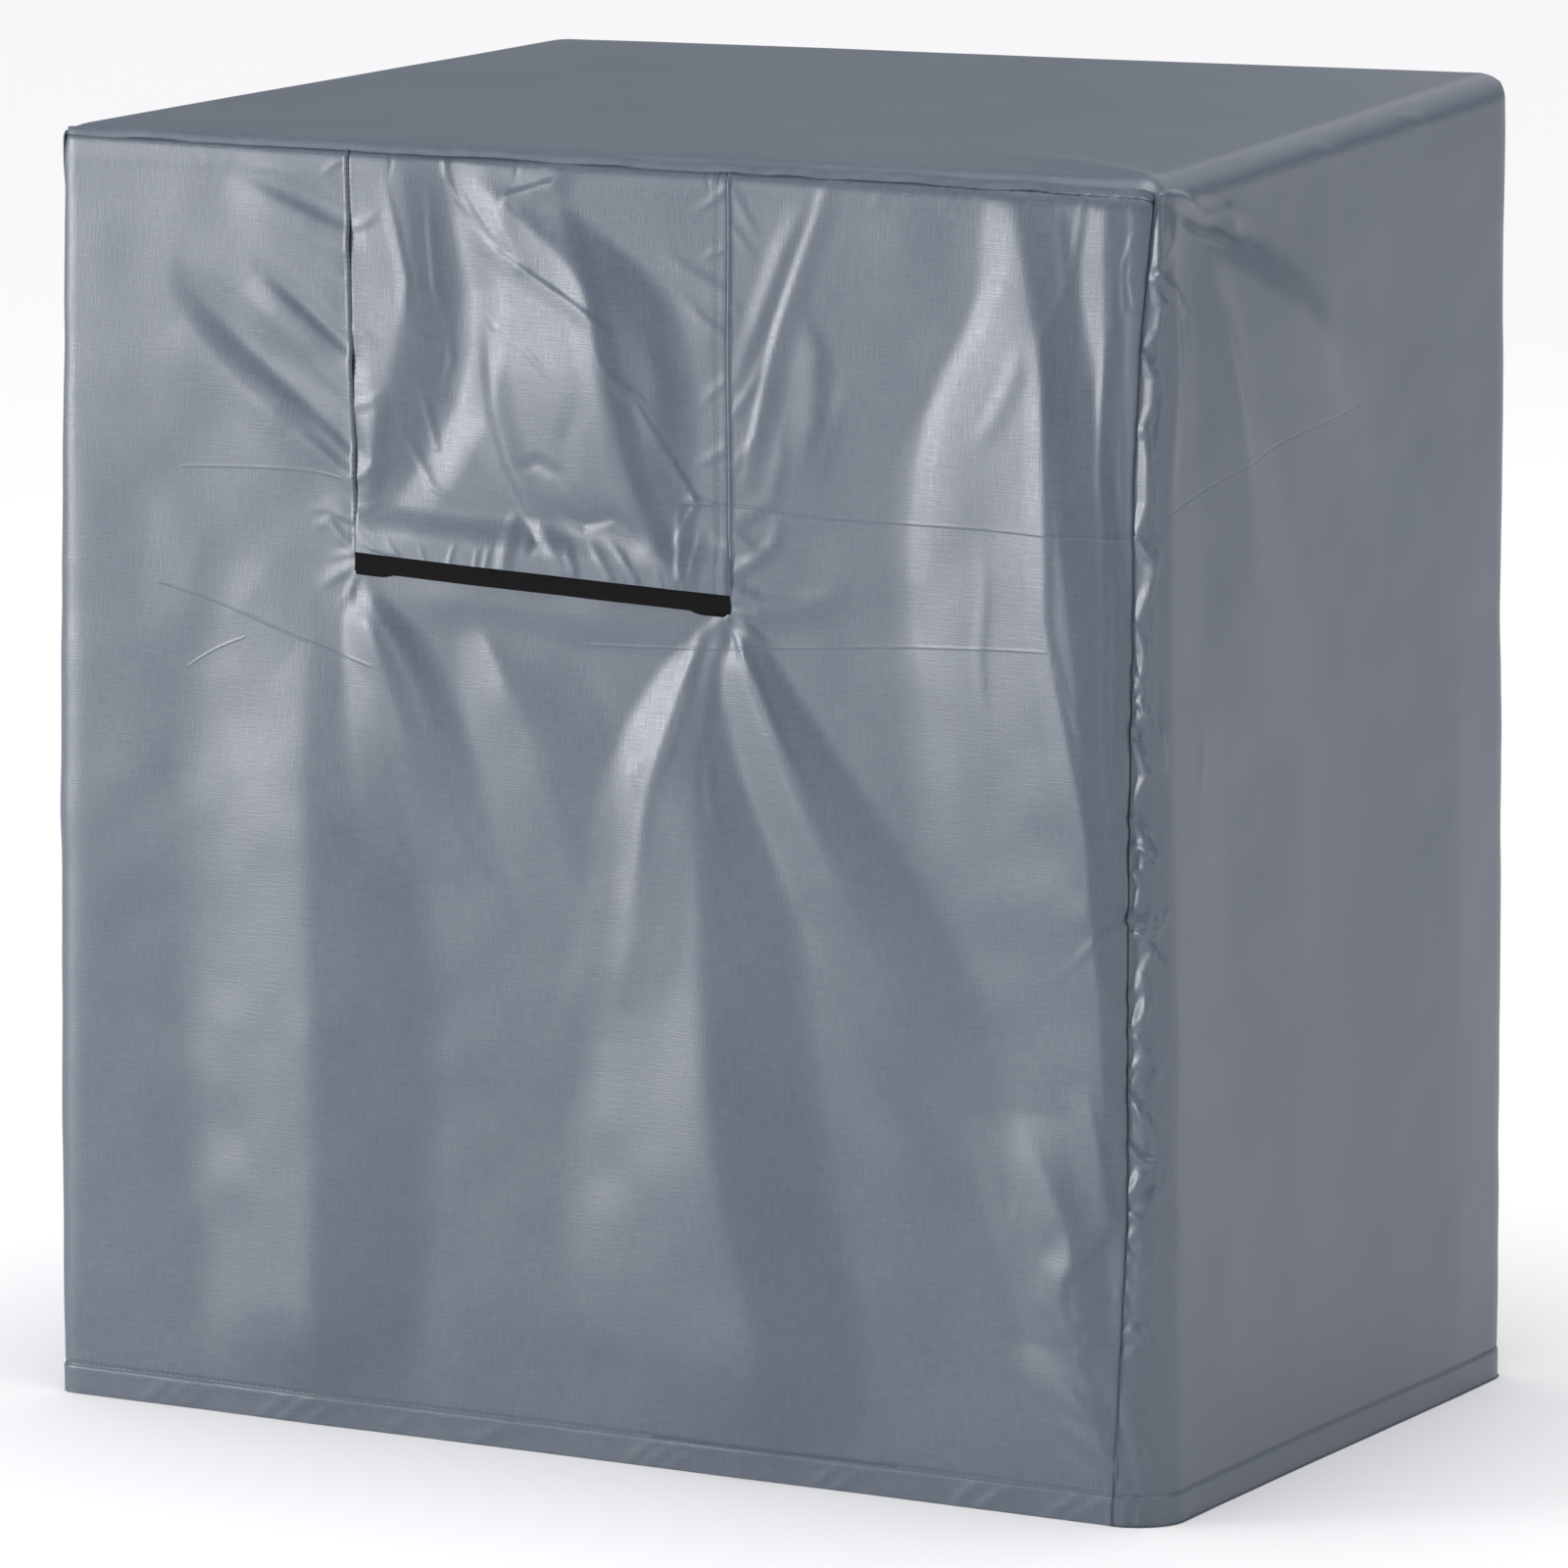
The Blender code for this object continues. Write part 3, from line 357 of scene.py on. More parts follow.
FRONT_WRINKLES = (
    # Tucks pulled towards the flap's left seam
    Wrinkle(30, 14, ((136, 29, 0), (165, 42, 1.4), (200, 54, 2.4), (229, 65, 2.0))),
    Wrinkle(26, 9, ((158, 97, 0), (180, 115, 1.4), (205, 134, 2.1), (232, 153, 1.9))),
    Wrinkle(40, 26, ((100, 128, 0), (140, 162, 1.6), (180, 186, 2.8), (212, 205, 2.2), (234, 218, 1))),
    Wrinkle(14, 8, ((188, 206, 0), (212, 221, 1.4), (234, 237, 1.4))),
    Wrinkle(8, 6, ((204, 197, 0), (220, 210, 1.1), (234, 223, 1.1))),
    Wrinkle(10, 6, ((204, 155, 0), (220, 166, 0.7), (233, 178, 0.8))),
    Wrinkle(8, 5, ((208, 82, 0), (222, 92, 0.6), (231, 99, 0.7))),
    Wrinkle(6, 4, ((213, 70, 0), (230, 77, 0.6))),
    Wrinkle(8, 8, ((211, 251, 0), (224, 257, 1), (237, 265, 1))),
    Wrinkle(7, 6, ((203, 274, 0), (216, 269, 1.4), (227, 281, 2), (237, 287, 1.6))),
    Wrinkle(4, 7, ((199, 261, 0), (214, 261, 1), (226, 265, 1.6), (238, 269, 1.2))),
    Wrinkle(3, 4, ((223, 272, 0), (231, 275, 1.2), (238, 277, 1.2))),
    Wrinkle(6, 10, ((206, 318, 0), (220, 309, 1.2), (238, 298, 1.8))),
    Wrinkle(4, 6, ((214, 296, 0), (226, 293, 1), (238, 290, 1.4))),
    Wrinkle(5, 4, ((228, 12, 1), (220, 17, 1), (209, 26, 0))),
    Wrinkle(2, 2, ((104, 172, 0), (106, 180, 0.6), (108, 187, 0))),
    Wrinkle(60, 50, ((70, 300, 0), (110, 310, 1.5), (150, 330, 1.5), (190, 360, 0))),
    # Straight ridge right of the flap and the slack beside it
    Wrinkle(5, 16, ((599, 5, 0.7), (590, 35, 1.1), (575, 75, 1.3), (562, 112, 1.8), (552, 150, 1.6),
                    (541, 200, 1.1), (533, 232, 0))),
    Wrinkle(12, 10, ((584, 20, 0), (565, 60, 1.5), (548, 105, 1.6), (530, 150, 0.9))),
    Wrinkle(6, 6, ((557, 118, 0), (544, 150, 1.2), (529, 173, 1.1))),
    Wrinkle(7, 7, ((552, 158, 0), (545, 188, 1), (530, 208, 0.9))),
    Wrinkle(12, 9, ((566, 168, 0), (563, 205, 1), (556, 232, 0.8), (534, 246, 1.4), (528, 248, 1.2))),
    Wrinkle(8, 8, ((564, 236, 0), (558, 262, 1.4), (545, 274, 2), (529, 283, 2.2))),
    Wrinkle(9, 9, ((529, 258, 2), (541, 268, 1.8), (553, 272, 0))),
    Wrinkle(20, 11, ((528, 297, 2.2), (548, 305, 2.4), (580, 303, 1.6), (616, 292, 0))),
    Wrinkle(6, 4, ((528, 20, 0.9), (538, 38, 0.8), (548, 52, 0))),
    Wrinkle(5, 4, ((528, 46, 0.9), (538, 58, 0.7), (545, 68, 0))),
    Wrinkle(4, 4, ((528, 100, 0.8), (535, 112, 0))),
    Wrinkle(26, 12, ((575, 95, 0), (590, 130, 1.4), (588, 175, 1.4), (575, 220, 0))),
    Wrinkle(8, 10, ((616, 140, 0), (596, 190, 0.8), (586, 226, 0))),
    # Broad fold by the corner: its sharp left edge, its crest and the creases on it
    Wrinkle(15, 60, ((738, 28, 0), (731, 70, 0.8), (713, 108, 1.2), (696, 140, 1.5), (684, 172, 1.6),
                    (678, 205, 1.6), (675, 240, 1.5), (673, 280, 1.4), (680, 330, 1.1), (690, 380, 0.9),
                    (700, 430, 0.6), (712, 480, 0))),
    Wrinkle(14, 7, ((762, 92, 0), (758, 120, 1.4), (757, 180, 1.8), (758, 240, 1.8), (758, 300, 1.8),
                    (766, 345, 1.8), (777, 395, 2), (787, 435, 1.8), (799, 480, 0.8))),
    Wrinkle(6, 5, ((766, 16, 0), (772, 45, 1.2), (774, 75, 1.4), (764, 92, 1.4), (758, 112, 0.6))),
    Wrinkle(4, 5, ((786, 8, 0.8), (784, 30, 1.1), (778, 60, 1.1), (772, 84, 0))),
    Wrinkle(10, 12, ((742, 110, 0), (736, 135, 1), (722, 165, 1), (705, 190, 0))),
    Wrinkle(7, 7, ((712, 240, 0), (714, 290, 0.9), (710, 330, 0.8), (716, 380, 0))),
    Wrinkle(3, 2, ((710, 318, 0), (712, 345, 0.6), (716, 362, 0))),
    Wrinkle(3, 3, ((765, 318, 0), (770, 340, 0.9), (780, 368, 0.8), (784, 380, 0))),
    # Narrow upright ridges between it and the seam
    Wrinkle(7, 7, ((807, 50, 0), (806, 100, 1.6), (801, 150, 2.4), (800, 200, 2.8), (803, 240, 2.8),
                   (804, 300, 2.6), (803, 350, 2.6), (804, 400, 2.4), (808, 450, 2), (812, 484, 0.6))),
    Wrinkle(3.5, 3, ((815, 130, 0), (814, 200, 1.4), (815, 240, 1.2), (814, 300, 1.6), (814, 400, 1.6),
                     (815, 450, 1.6), (819, 494, 0.8))),
    Wrinkle(3, 4, ((822, 36, 0.8), (815, 58, 1.5), (816, 86, 1.6), (828, 94, 1.2))),
    Wrinkle(3, 3, ((823, 42, 0.6), (820, 66, 1.2), (826, 88, 1))),
    Wrinkle(4, 4, ((808, 40, 0), (809, 90, 1), (812, 130, 0))),
    Wrinkle(3, 3, ((792, 240, 0), (808, 241, 1.6), (822, 238, 1))),
    Wrinkle(3, 3, ((808, 242, 1.2), (813, 262, 1.4), (819, 288, 0.6))),
    Wrinkle(3, 3, ((803, 225, 0), (808, 240, 1.2))),
    # Star of creases where the seam is pinched
    Wrinkle(3, 4, ((800, 498, 0), (812, 499, 1.4), (820, 494, 1.6))),
    Wrinkle(4, 7, ((819, 504, 2), (804, 510, 2.2), (792, 518, 1.8), (780, 526, 0))),
    Wrinkle(3, 3, ((794, 520, 1), (780, 532, 0.8), (766, 548, 0))),
    Wrinkle(14, 10, ((793, 520, 0), (800, 540, 1.6), (810, 560, 1.6), (818, 578, 1))),
    Wrinkle(20, 20, ((815, 478, 0), (790, 500, 1.4), (765, 505, 0))),
    # Cloth pushed out low on the right, with a dark hollow at the seam
    Wrinkle(22, 7, ((786, 618, 0), (794, 640, 1.6), (800, 665, 2.4), (804, 690, 2.6), (807, 707, 2.6),
                    (799, 722, 2.6), (786, 736, 2.6), (773, 752, 2.6), (769, 768, 2), (775, 786, 1.8),
                    (783, 805, 0.8))),
    Wrinkle(9, 4, ((776, 786, 0), (785, 777, 1.4), (797, 766, 1.8), (814, 761, 1.6))),
    Wrinkle(7, 5, ((783, 805, 0.8), (790, 822, 1), (800, 842, 0))),
    Wrinkle(5, 5, ((784, 803, 1), (797, 800, 1.2), (811, 796, 1.2))),
    Wrinkle(4, 5, ((796, 818, 0), (806, 812, 1), (812, 806, 1.2))),
    Wrinkle(6, 4, ((786, 780, 0), (791, 792, 0.8), (788, 804, 0.6))),
    Wrinkle(14, 10, ((752, 842, 0), (785, 862, 1.8), (812, 880, 2.2), (832, 896, 1))),
    Wrinkle(6, 5, ((786, 880, 0), (797, 888, 1), (808, 893, 0))),
    Wrinkle(12, 9, ((712, 672, 0), (722, 695, 1), (733, 725, 1.2), (740, 752, 0))),
    Wrinkle(3, 4, ((742, 690, 0), (736, 715, 0.7), (744, 740, 0))),
    Wrinkle(40, 30, ((590, 555, 0), (635, 635, 1.4), (665, 680, 1.4), (700, 720, 0))),
    # Folds that spread from the strip's right end
    Wrinkle(6, 9, ((519, 316, 1.2), (503, 330, 1.4), (494, 352, 1.6), (484, 380, 1.6), (472, 412, 1.2),
                   (462, 440, 0.8), (452, 500, 0.8), (446, 545, 0))),
    Wrinkle(5, 5, ((498, 350, 0), (493, 375, 0.8), (480, 410, 0.8), (468, 445, 0))),
    Wrinkle(10, 8, ((521, 318, 1.5), (514, 345, 1.8), (508, 380, 1.6), (500, 420, 1), (498, 460, 0))),
    Wrinkle(4, 5, ((524, 316, 1.6), (534, 336, 2), (547, 362, 2), (560, 392, 1.6), (575, 420, 0.8),
                   (590, 445, 0))),
    Wrinkle(5, 4, ((527, 313, 1.6), (548, 328, 1.4), (572, 340, 0))),
    Wrinkle(4, 3, ((526, 310, 1), (545, 312, 0.9), (566, 320, 0))),
    Wrinkle(6, 5, ((456, 415, 0), (452, 430, 1), (458, 446, 0))),
    Wrinkle(5, 6, ((512, 400, 0), (508, 425, 1), (512, 452, 0.8), (520, 470, 0))),
    # Folds that spread from its left end
    Wrinkle(9, 14, ((241, 306, 1.4), (252, 326, 1.6), (270, 352, 1.6), (288, 384, 1), (300, 420, 0))),
    Wrinkle(8, 10, ((326, 322, 0), (338, 345, 1), (350, 372, 1), (357, 402, 0))),
    Wrinkle(4, 6, ((238, 304, 1.2), (232, 318, 1), (222, 332, 0))),
    Wrinkle(10, 12, ((305, 470, 0), (322, 498, 0.9), (345, 522, 0.9), (364, 545, 0))),
    Wrinkle(6, 6, ((352, 440, 0), (372, 466, 0.6), (384, 492, 0))),
    Wrinkle(8, 8, ((238, 380, 0), (250, 392, 0.7), (262, 410, 0))),
    Wrinkle(5, 5, ((290, 400, 0), (310, 420, 0.6), (326, 444, 0))),
    # Small dark gathers under the top seam
    Wrinkle(2, 2.5, ((650, 4, -0.9), (652, 14, -0.6), (655, 22, 0))),
    Wrinkle(2, 2.5, ((706, 4, -1), (705, 14, -0.9), (700, 24, 0))),
    Wrinkle(2, 2.5, ((722, 4, -1), (720, 12, -0.7), (716, 20, 0))),
    Wrinkle(2, 2, ((733, 4, -0.9), (731, 12, -0.5), (729, 18, 0))),
    Wrinkle(2, 3, ((746, 4, -1.1), (744, 16, -0.9), (738, 30, 0))),
    Wrinkle(2, 2.5, ((757, 4, -0.9), (756, 14, -0.6), (752, 22, 0))),
    Wrinkle(2, 3, ((766, 4, -1.1), (765, 18, -0.9), (764, 32, 0))),
    Wrinkle(2, 2.5, ((779, 4, -1), (780, 12, -0.8), (784, 22, 0))),
    Wrinkle(2, 2.5, ((790, 4, -1), (791, 14, -0.8), (788, 24, 0))),
    Wrinkle(2, 2.5, ((801, 4, -1), (800, 12, -0.8), (797, 22, 0))),
    Wrinkle(2, 2, ((811, 4, -0.9), (811, 12, -0.6), (810, 20, 0))),
    Wrinkle(3, 3, ((822, 4, -0.9), (824, 14, -0.8), (828, 30, 0))),
    Wrinkle(3, 3, ((690, 8, 0), (688, 16, 0.6), (684, 26, 0))),
    Wrinkle(3, 2, ((118, 10, 0.6), (119, 18, 0.5), (122, 24, 0))),
    Wrinkle(5, 5, ((640, 8, 0.6), (636, 20, 0.5), (630, 34, 0))),
    # Twisted hem
    Wrinkle(7, 5, ((70, 918, 0.64), (80, 909, 0.96), (92, 903, 0.32))),
    Wrinkle(7, 5, ((86, 918, 0.64), (98, 908, 1.04), (110, 902, 0.32))),
    Wrinkle(7, 5, ((100, 918, 0.48), (112, 909, 0.8), (122, 903, 0.32))),
    Wrinkle(7, 5, ((163, 918, 0.64), (174, 909, 0.96), (186, 903, 0.32))),
    Wrinkle(7, 5, ((180, 918, 0.64), (193, 908, 1.12), (206, 902, 0.32))),
    Wrinkle(7, 5, ((200, 918, 0.48), (212, 910, 0.8), (222, 904, 0.32))),
    Wrinkle(7, 5, ((262, 918, 0.48), (274, 910, 0.72), (286, 903, 0.24))),
    Wrinkle(7, 5, ((330, 918, 0.48), (345, 909, 0.8), (356, 903, 0.24))),
    Wrinkle(7, 5, ((448, 918, 0.64), (458, 909, 1.04), (470, 903, 0.32))),
    Wrinkle(7, 5, ((462, 918, 0.64), (474, 909, 1.04), (486, 902, 0.32))),
    Wrinkle(7, 5, ((478, 918, 0.48), (490, 910, 0.8), (500, 904, 0.32))),
    Wrinkle(7, 5, ((588, 918, 0.64), (598, 909, 1.04), (610, 903, 0.32))),
    Wrinkle(7, 5, ((604, 918, 0.64), (616, 909, 0.96), (628, 903, 0.32))),
    Wrinkle(7, 5, ((694, 918, 0.8), (702, 908, 1.2), (714, 902, 0.32))),
    Wrinkle(7, 5, ((712, 918, 0.8), (724, 908, 1.2), (736, 902, 0.32))),
    Wrinkle(7, 5, ((762, 917, 0.64), (776, 908, 1.12), (788, 901, 0.32))),
    Wrinkle(7, 5, ((778, 918, 0.64), (792, 909, 1.12), (804, 903, 0.32))),
    Wrinkle(3, 3, ((808, 918, 0.8), (806, 908, 1.12), (810, 900, 0.48))),
    Wrinkle(8, 3, ((0, 900, 0.5), (200, 901, 0.6), (400, 900, 0.5), (600, 901, 0.6), (806, 898, 0.6))),
)

FLAP_WRINKLES = (
    # The long hollow, with creases in it
    Wrinkle(44, 30, ((308, 8, -1), (312, 50, -3.4), (324, 100, -4.6), (324, 140, -4.2), (312, 180, -3.8),
                     (292, 215, -3.5), (262, 250, -1.5), (246, 270, 0))),
    Wrinkle(4, 8, ((293, 26, 0), (294, 60, 1), (298, 100, 1.1), (304, 122, 0))),
    Wrinkle(9, 5, ((258, 22, 0), (268, 58, 1), (277, 95, 1.2), (276, 130, 0))),
    Wrinkle(4, 6, ((286, 164, 0), (291, 186, 1.2), (298, 212, 1))),
    Wrinkle(4, 7, ((268, 196, 0), (282, 218, 1.2), (296, 240, 1.2), (312, 248, 0))),
    Wrinkle(5, 5, ((306, 120, 0), (310, 150, 1), (300, 180, 0))),
    Wrinkle(4, 5, ((280, 128, 0), (292, 138, 0.9), (306, 136, 0))),
    Wrinkle(4, 4, ((305, 8, 1), (307, 22, 1.4), (314, 36, 1.2), (326, 48, 0))),
    Wrinkle(5, 4, ((316, 20, 0), (330, 42, 0.9), (346, 62, 0.8), (352, 72, 0))),
    # Bright folds and the creases between them
    Wrinkle(10, 16, ((338, 120, 0), (341, 150, 1.4), (347, 185, 2.2), (357, 218, 2.4), (375, 250, 2.2),
                     (390, 272, 1.6), (400, 290, 1))),
    Wrinkle(20, 15, ((384, 16, 0), (400, 50, 1), (413, 90, 1.6), (424, 130, 2), (432, 165, 2.2),
                     (442, 200, 2.4), (455, 240, 2.6), (470, 270, 2.2), (484, 290, 1.4))),
    Wrinkle(14, 3, ((322, 53, 0), (345, 70, 0.9), (365, 82, 1.4), (395, 99, 1.8), (424, 116, 1.2))),
    Wrinkle(16, 5, ((350, 44, 0), (355, 33, 1.6), (374, 27, 2.2), (390, 22, 1.8), (399, 11, 0.6))),
    Wrinkle(9, 14, ((346, 36, 0.6), (352, 56, 1.4), (366, 80, 1))),
    Wrinkle(4, 3, ((337, 118, 0), (344, 124, 0.7), (352, 128, 0))),
    Wrinkle(4, 3, ((360, 132, 0), (375, 145, 0.9), (392, 162, 0))),
    Wrinkle(9, 3, ((444, 158, 0.4), (458, 176, 1.3), (478, 204, 1.5), (498, 233, 1.3))),
    Wrinkle(4, 3, ((445, 160, 0.5), (458, 168, 0.9), (473, 186, 0))),
    Wrinkle(5, 5, ((420, 128, 0), (430, 148, 1), (444, 166, 1))),
    Wrinkle(3, 6, ((476, 243, 0), (499, 235, 1.5), (522, 241, 0.7))),
    Wrinkle(4, 5, ((500, 236, 1.2), (490, 256, 0.9), (478, 278, 0))),
    Wrinkle(7, 9, ((360, 222, 0), (378, 218, -1.6), (392, 224, -1.2), (402, 238, 0))),
    Wrinkle(6, 10, ((385, 250, 0), (398, 252, -1), (414, 258, -2), (436, 252, -1.6), (450, 260, -1),
                    (460, 275, 0))),
    Wrinkle(12, 12, ((410, 170, 0), (400, 200, -1), (405, 230, 0))),
    Wrinkle(8, 9, ((364, 250, 0), (358, 268, 2), (354, 292, 1.6))),
    Wrinkle(5, 5, ((372, 262, 0), (378, 272, -1.6), (374, 284, 0))),
    Wrinkle(5, 13, ((486, 236, 0), (487, 260, 1.6), (490, 290, 1.6))),
    Wrinkle(4, 8, ((504, 248, 0), (501, 268, 1), (497, 292, 1))),
    Wrinkle(5, 6, ((418, 266, 0), (427, 279, 1.1), (436, 294, 1.3))),
    Wrinkle(5, 4, ((430, 262, 0), (445, 278, 1), (456, 294, 1.2))),
    Wrinkle(6, 5, ((402, 268, 0), (405, 280, 1.2), (409, 292, 1.2))),
    Wrinkle(20, 16, ((452, 110, 0), (470, 150, 1.6), (472, 190, 1.6), (462, 220, 0))),
    Wrinkle(12, 8, ((470, 64, 0), (490, 76, 1), (508, 84, 1.2), (524, 92, 1))),
    Wrinkle(8, 5, ((488, 92, 0), (504, 110, 0.8), (524, 122, 1))),
    Wrinkle(6, 4, ((524, 18, 1), (512, 28, 0.9), (496, 38, 0))),
    Wrinkle(6, 4, ((524, 60, 0.8), (512, 64, 0.7), (502, 70, 0))),
    Wrinkle(7, 5, ((524, 150, 0.9), (512, 160, 0.7), (500, 174, 0))),
    Wrinkle(7, 6, ((524, 196, 1), (510, 206, 0.8), (496, 212, 0))),
    Wrinkle(6, 6, ((524, 262, 1), (514, 258, 0.8), (506, 250, 0))),
    # Left seam's side
    Wrinkle(8, 7, ((234, 132, 1), (244, 136, 0.9), (256, 146, 0))),
    Wrinkle(6, 6, ((236, 60, 1), (246, 56, 0.8), (256, 48, 0))),
    Wrinkle(7, 6, ((237, 186, 1.2), (250, 182, 0.9), (262, 172, 0))),
    Wrinkle(7, 6, ((239, 236, 1.2), (250, 228, 1), (264, 218, 0))),
    Wrinkle(5, 5, ((240, 262, 1.2), (252, 256, 1), (268, 250, 0))),
    Wrinkle(20, 14, ((246, 160, 0), (252, 190, 1.6), (248, 230, 1.6), (242, 262, 0))),
    # Puckers over the strip
    Wrinkle(2, 5, ((243, 280, 0.6), (252, 286, 1.4), (268, 289, 0.5))),
    Wrinkle(2.5, 3, ((262, 276, 0), (266, 283, 0.9), (272, 289, 0.9))),
    Wrinkle(2.5, 3, ((286, 279, 0), (290, 285, 0.8), (293, 291, 0.8))),
    Wrinkle(2.5, 3, ((318, 276, 0), (314, 284, 0.9), (312, 292, 0.9))),
    Wrinkle(2.5, 3, ((335, 278, 0), (333, 286, 0.8), (332, 293, 0.8))),
    Wrinkle(3, 3, ((345, 275, 0), (342, 284, 0.9), (340, 293, 0.9))),
    Wrinkle(2.5, 2.5, ((470, 284, 0), (473, 290, 0.9), (476, 296, 0.9))),
    # Gathers under the top seam
    Wrinkle(2, 3, ((262, 5, -0.9), (264, 14, -0.7), (262, 26, 0))),
    Wrinkle(2, 3, ((360, 6, -0.8), (362, 16, -0.5), (360, 24, 0))),
    Wrinkle(3, 3, ((372, 6, 0.8), (384, 10, 0.9), (396, 8, 0.6))),
    Wrinkle(2, 3, ((506, 6, -0.8), (508, 16, -0.5), (510, 24, 0))),
)

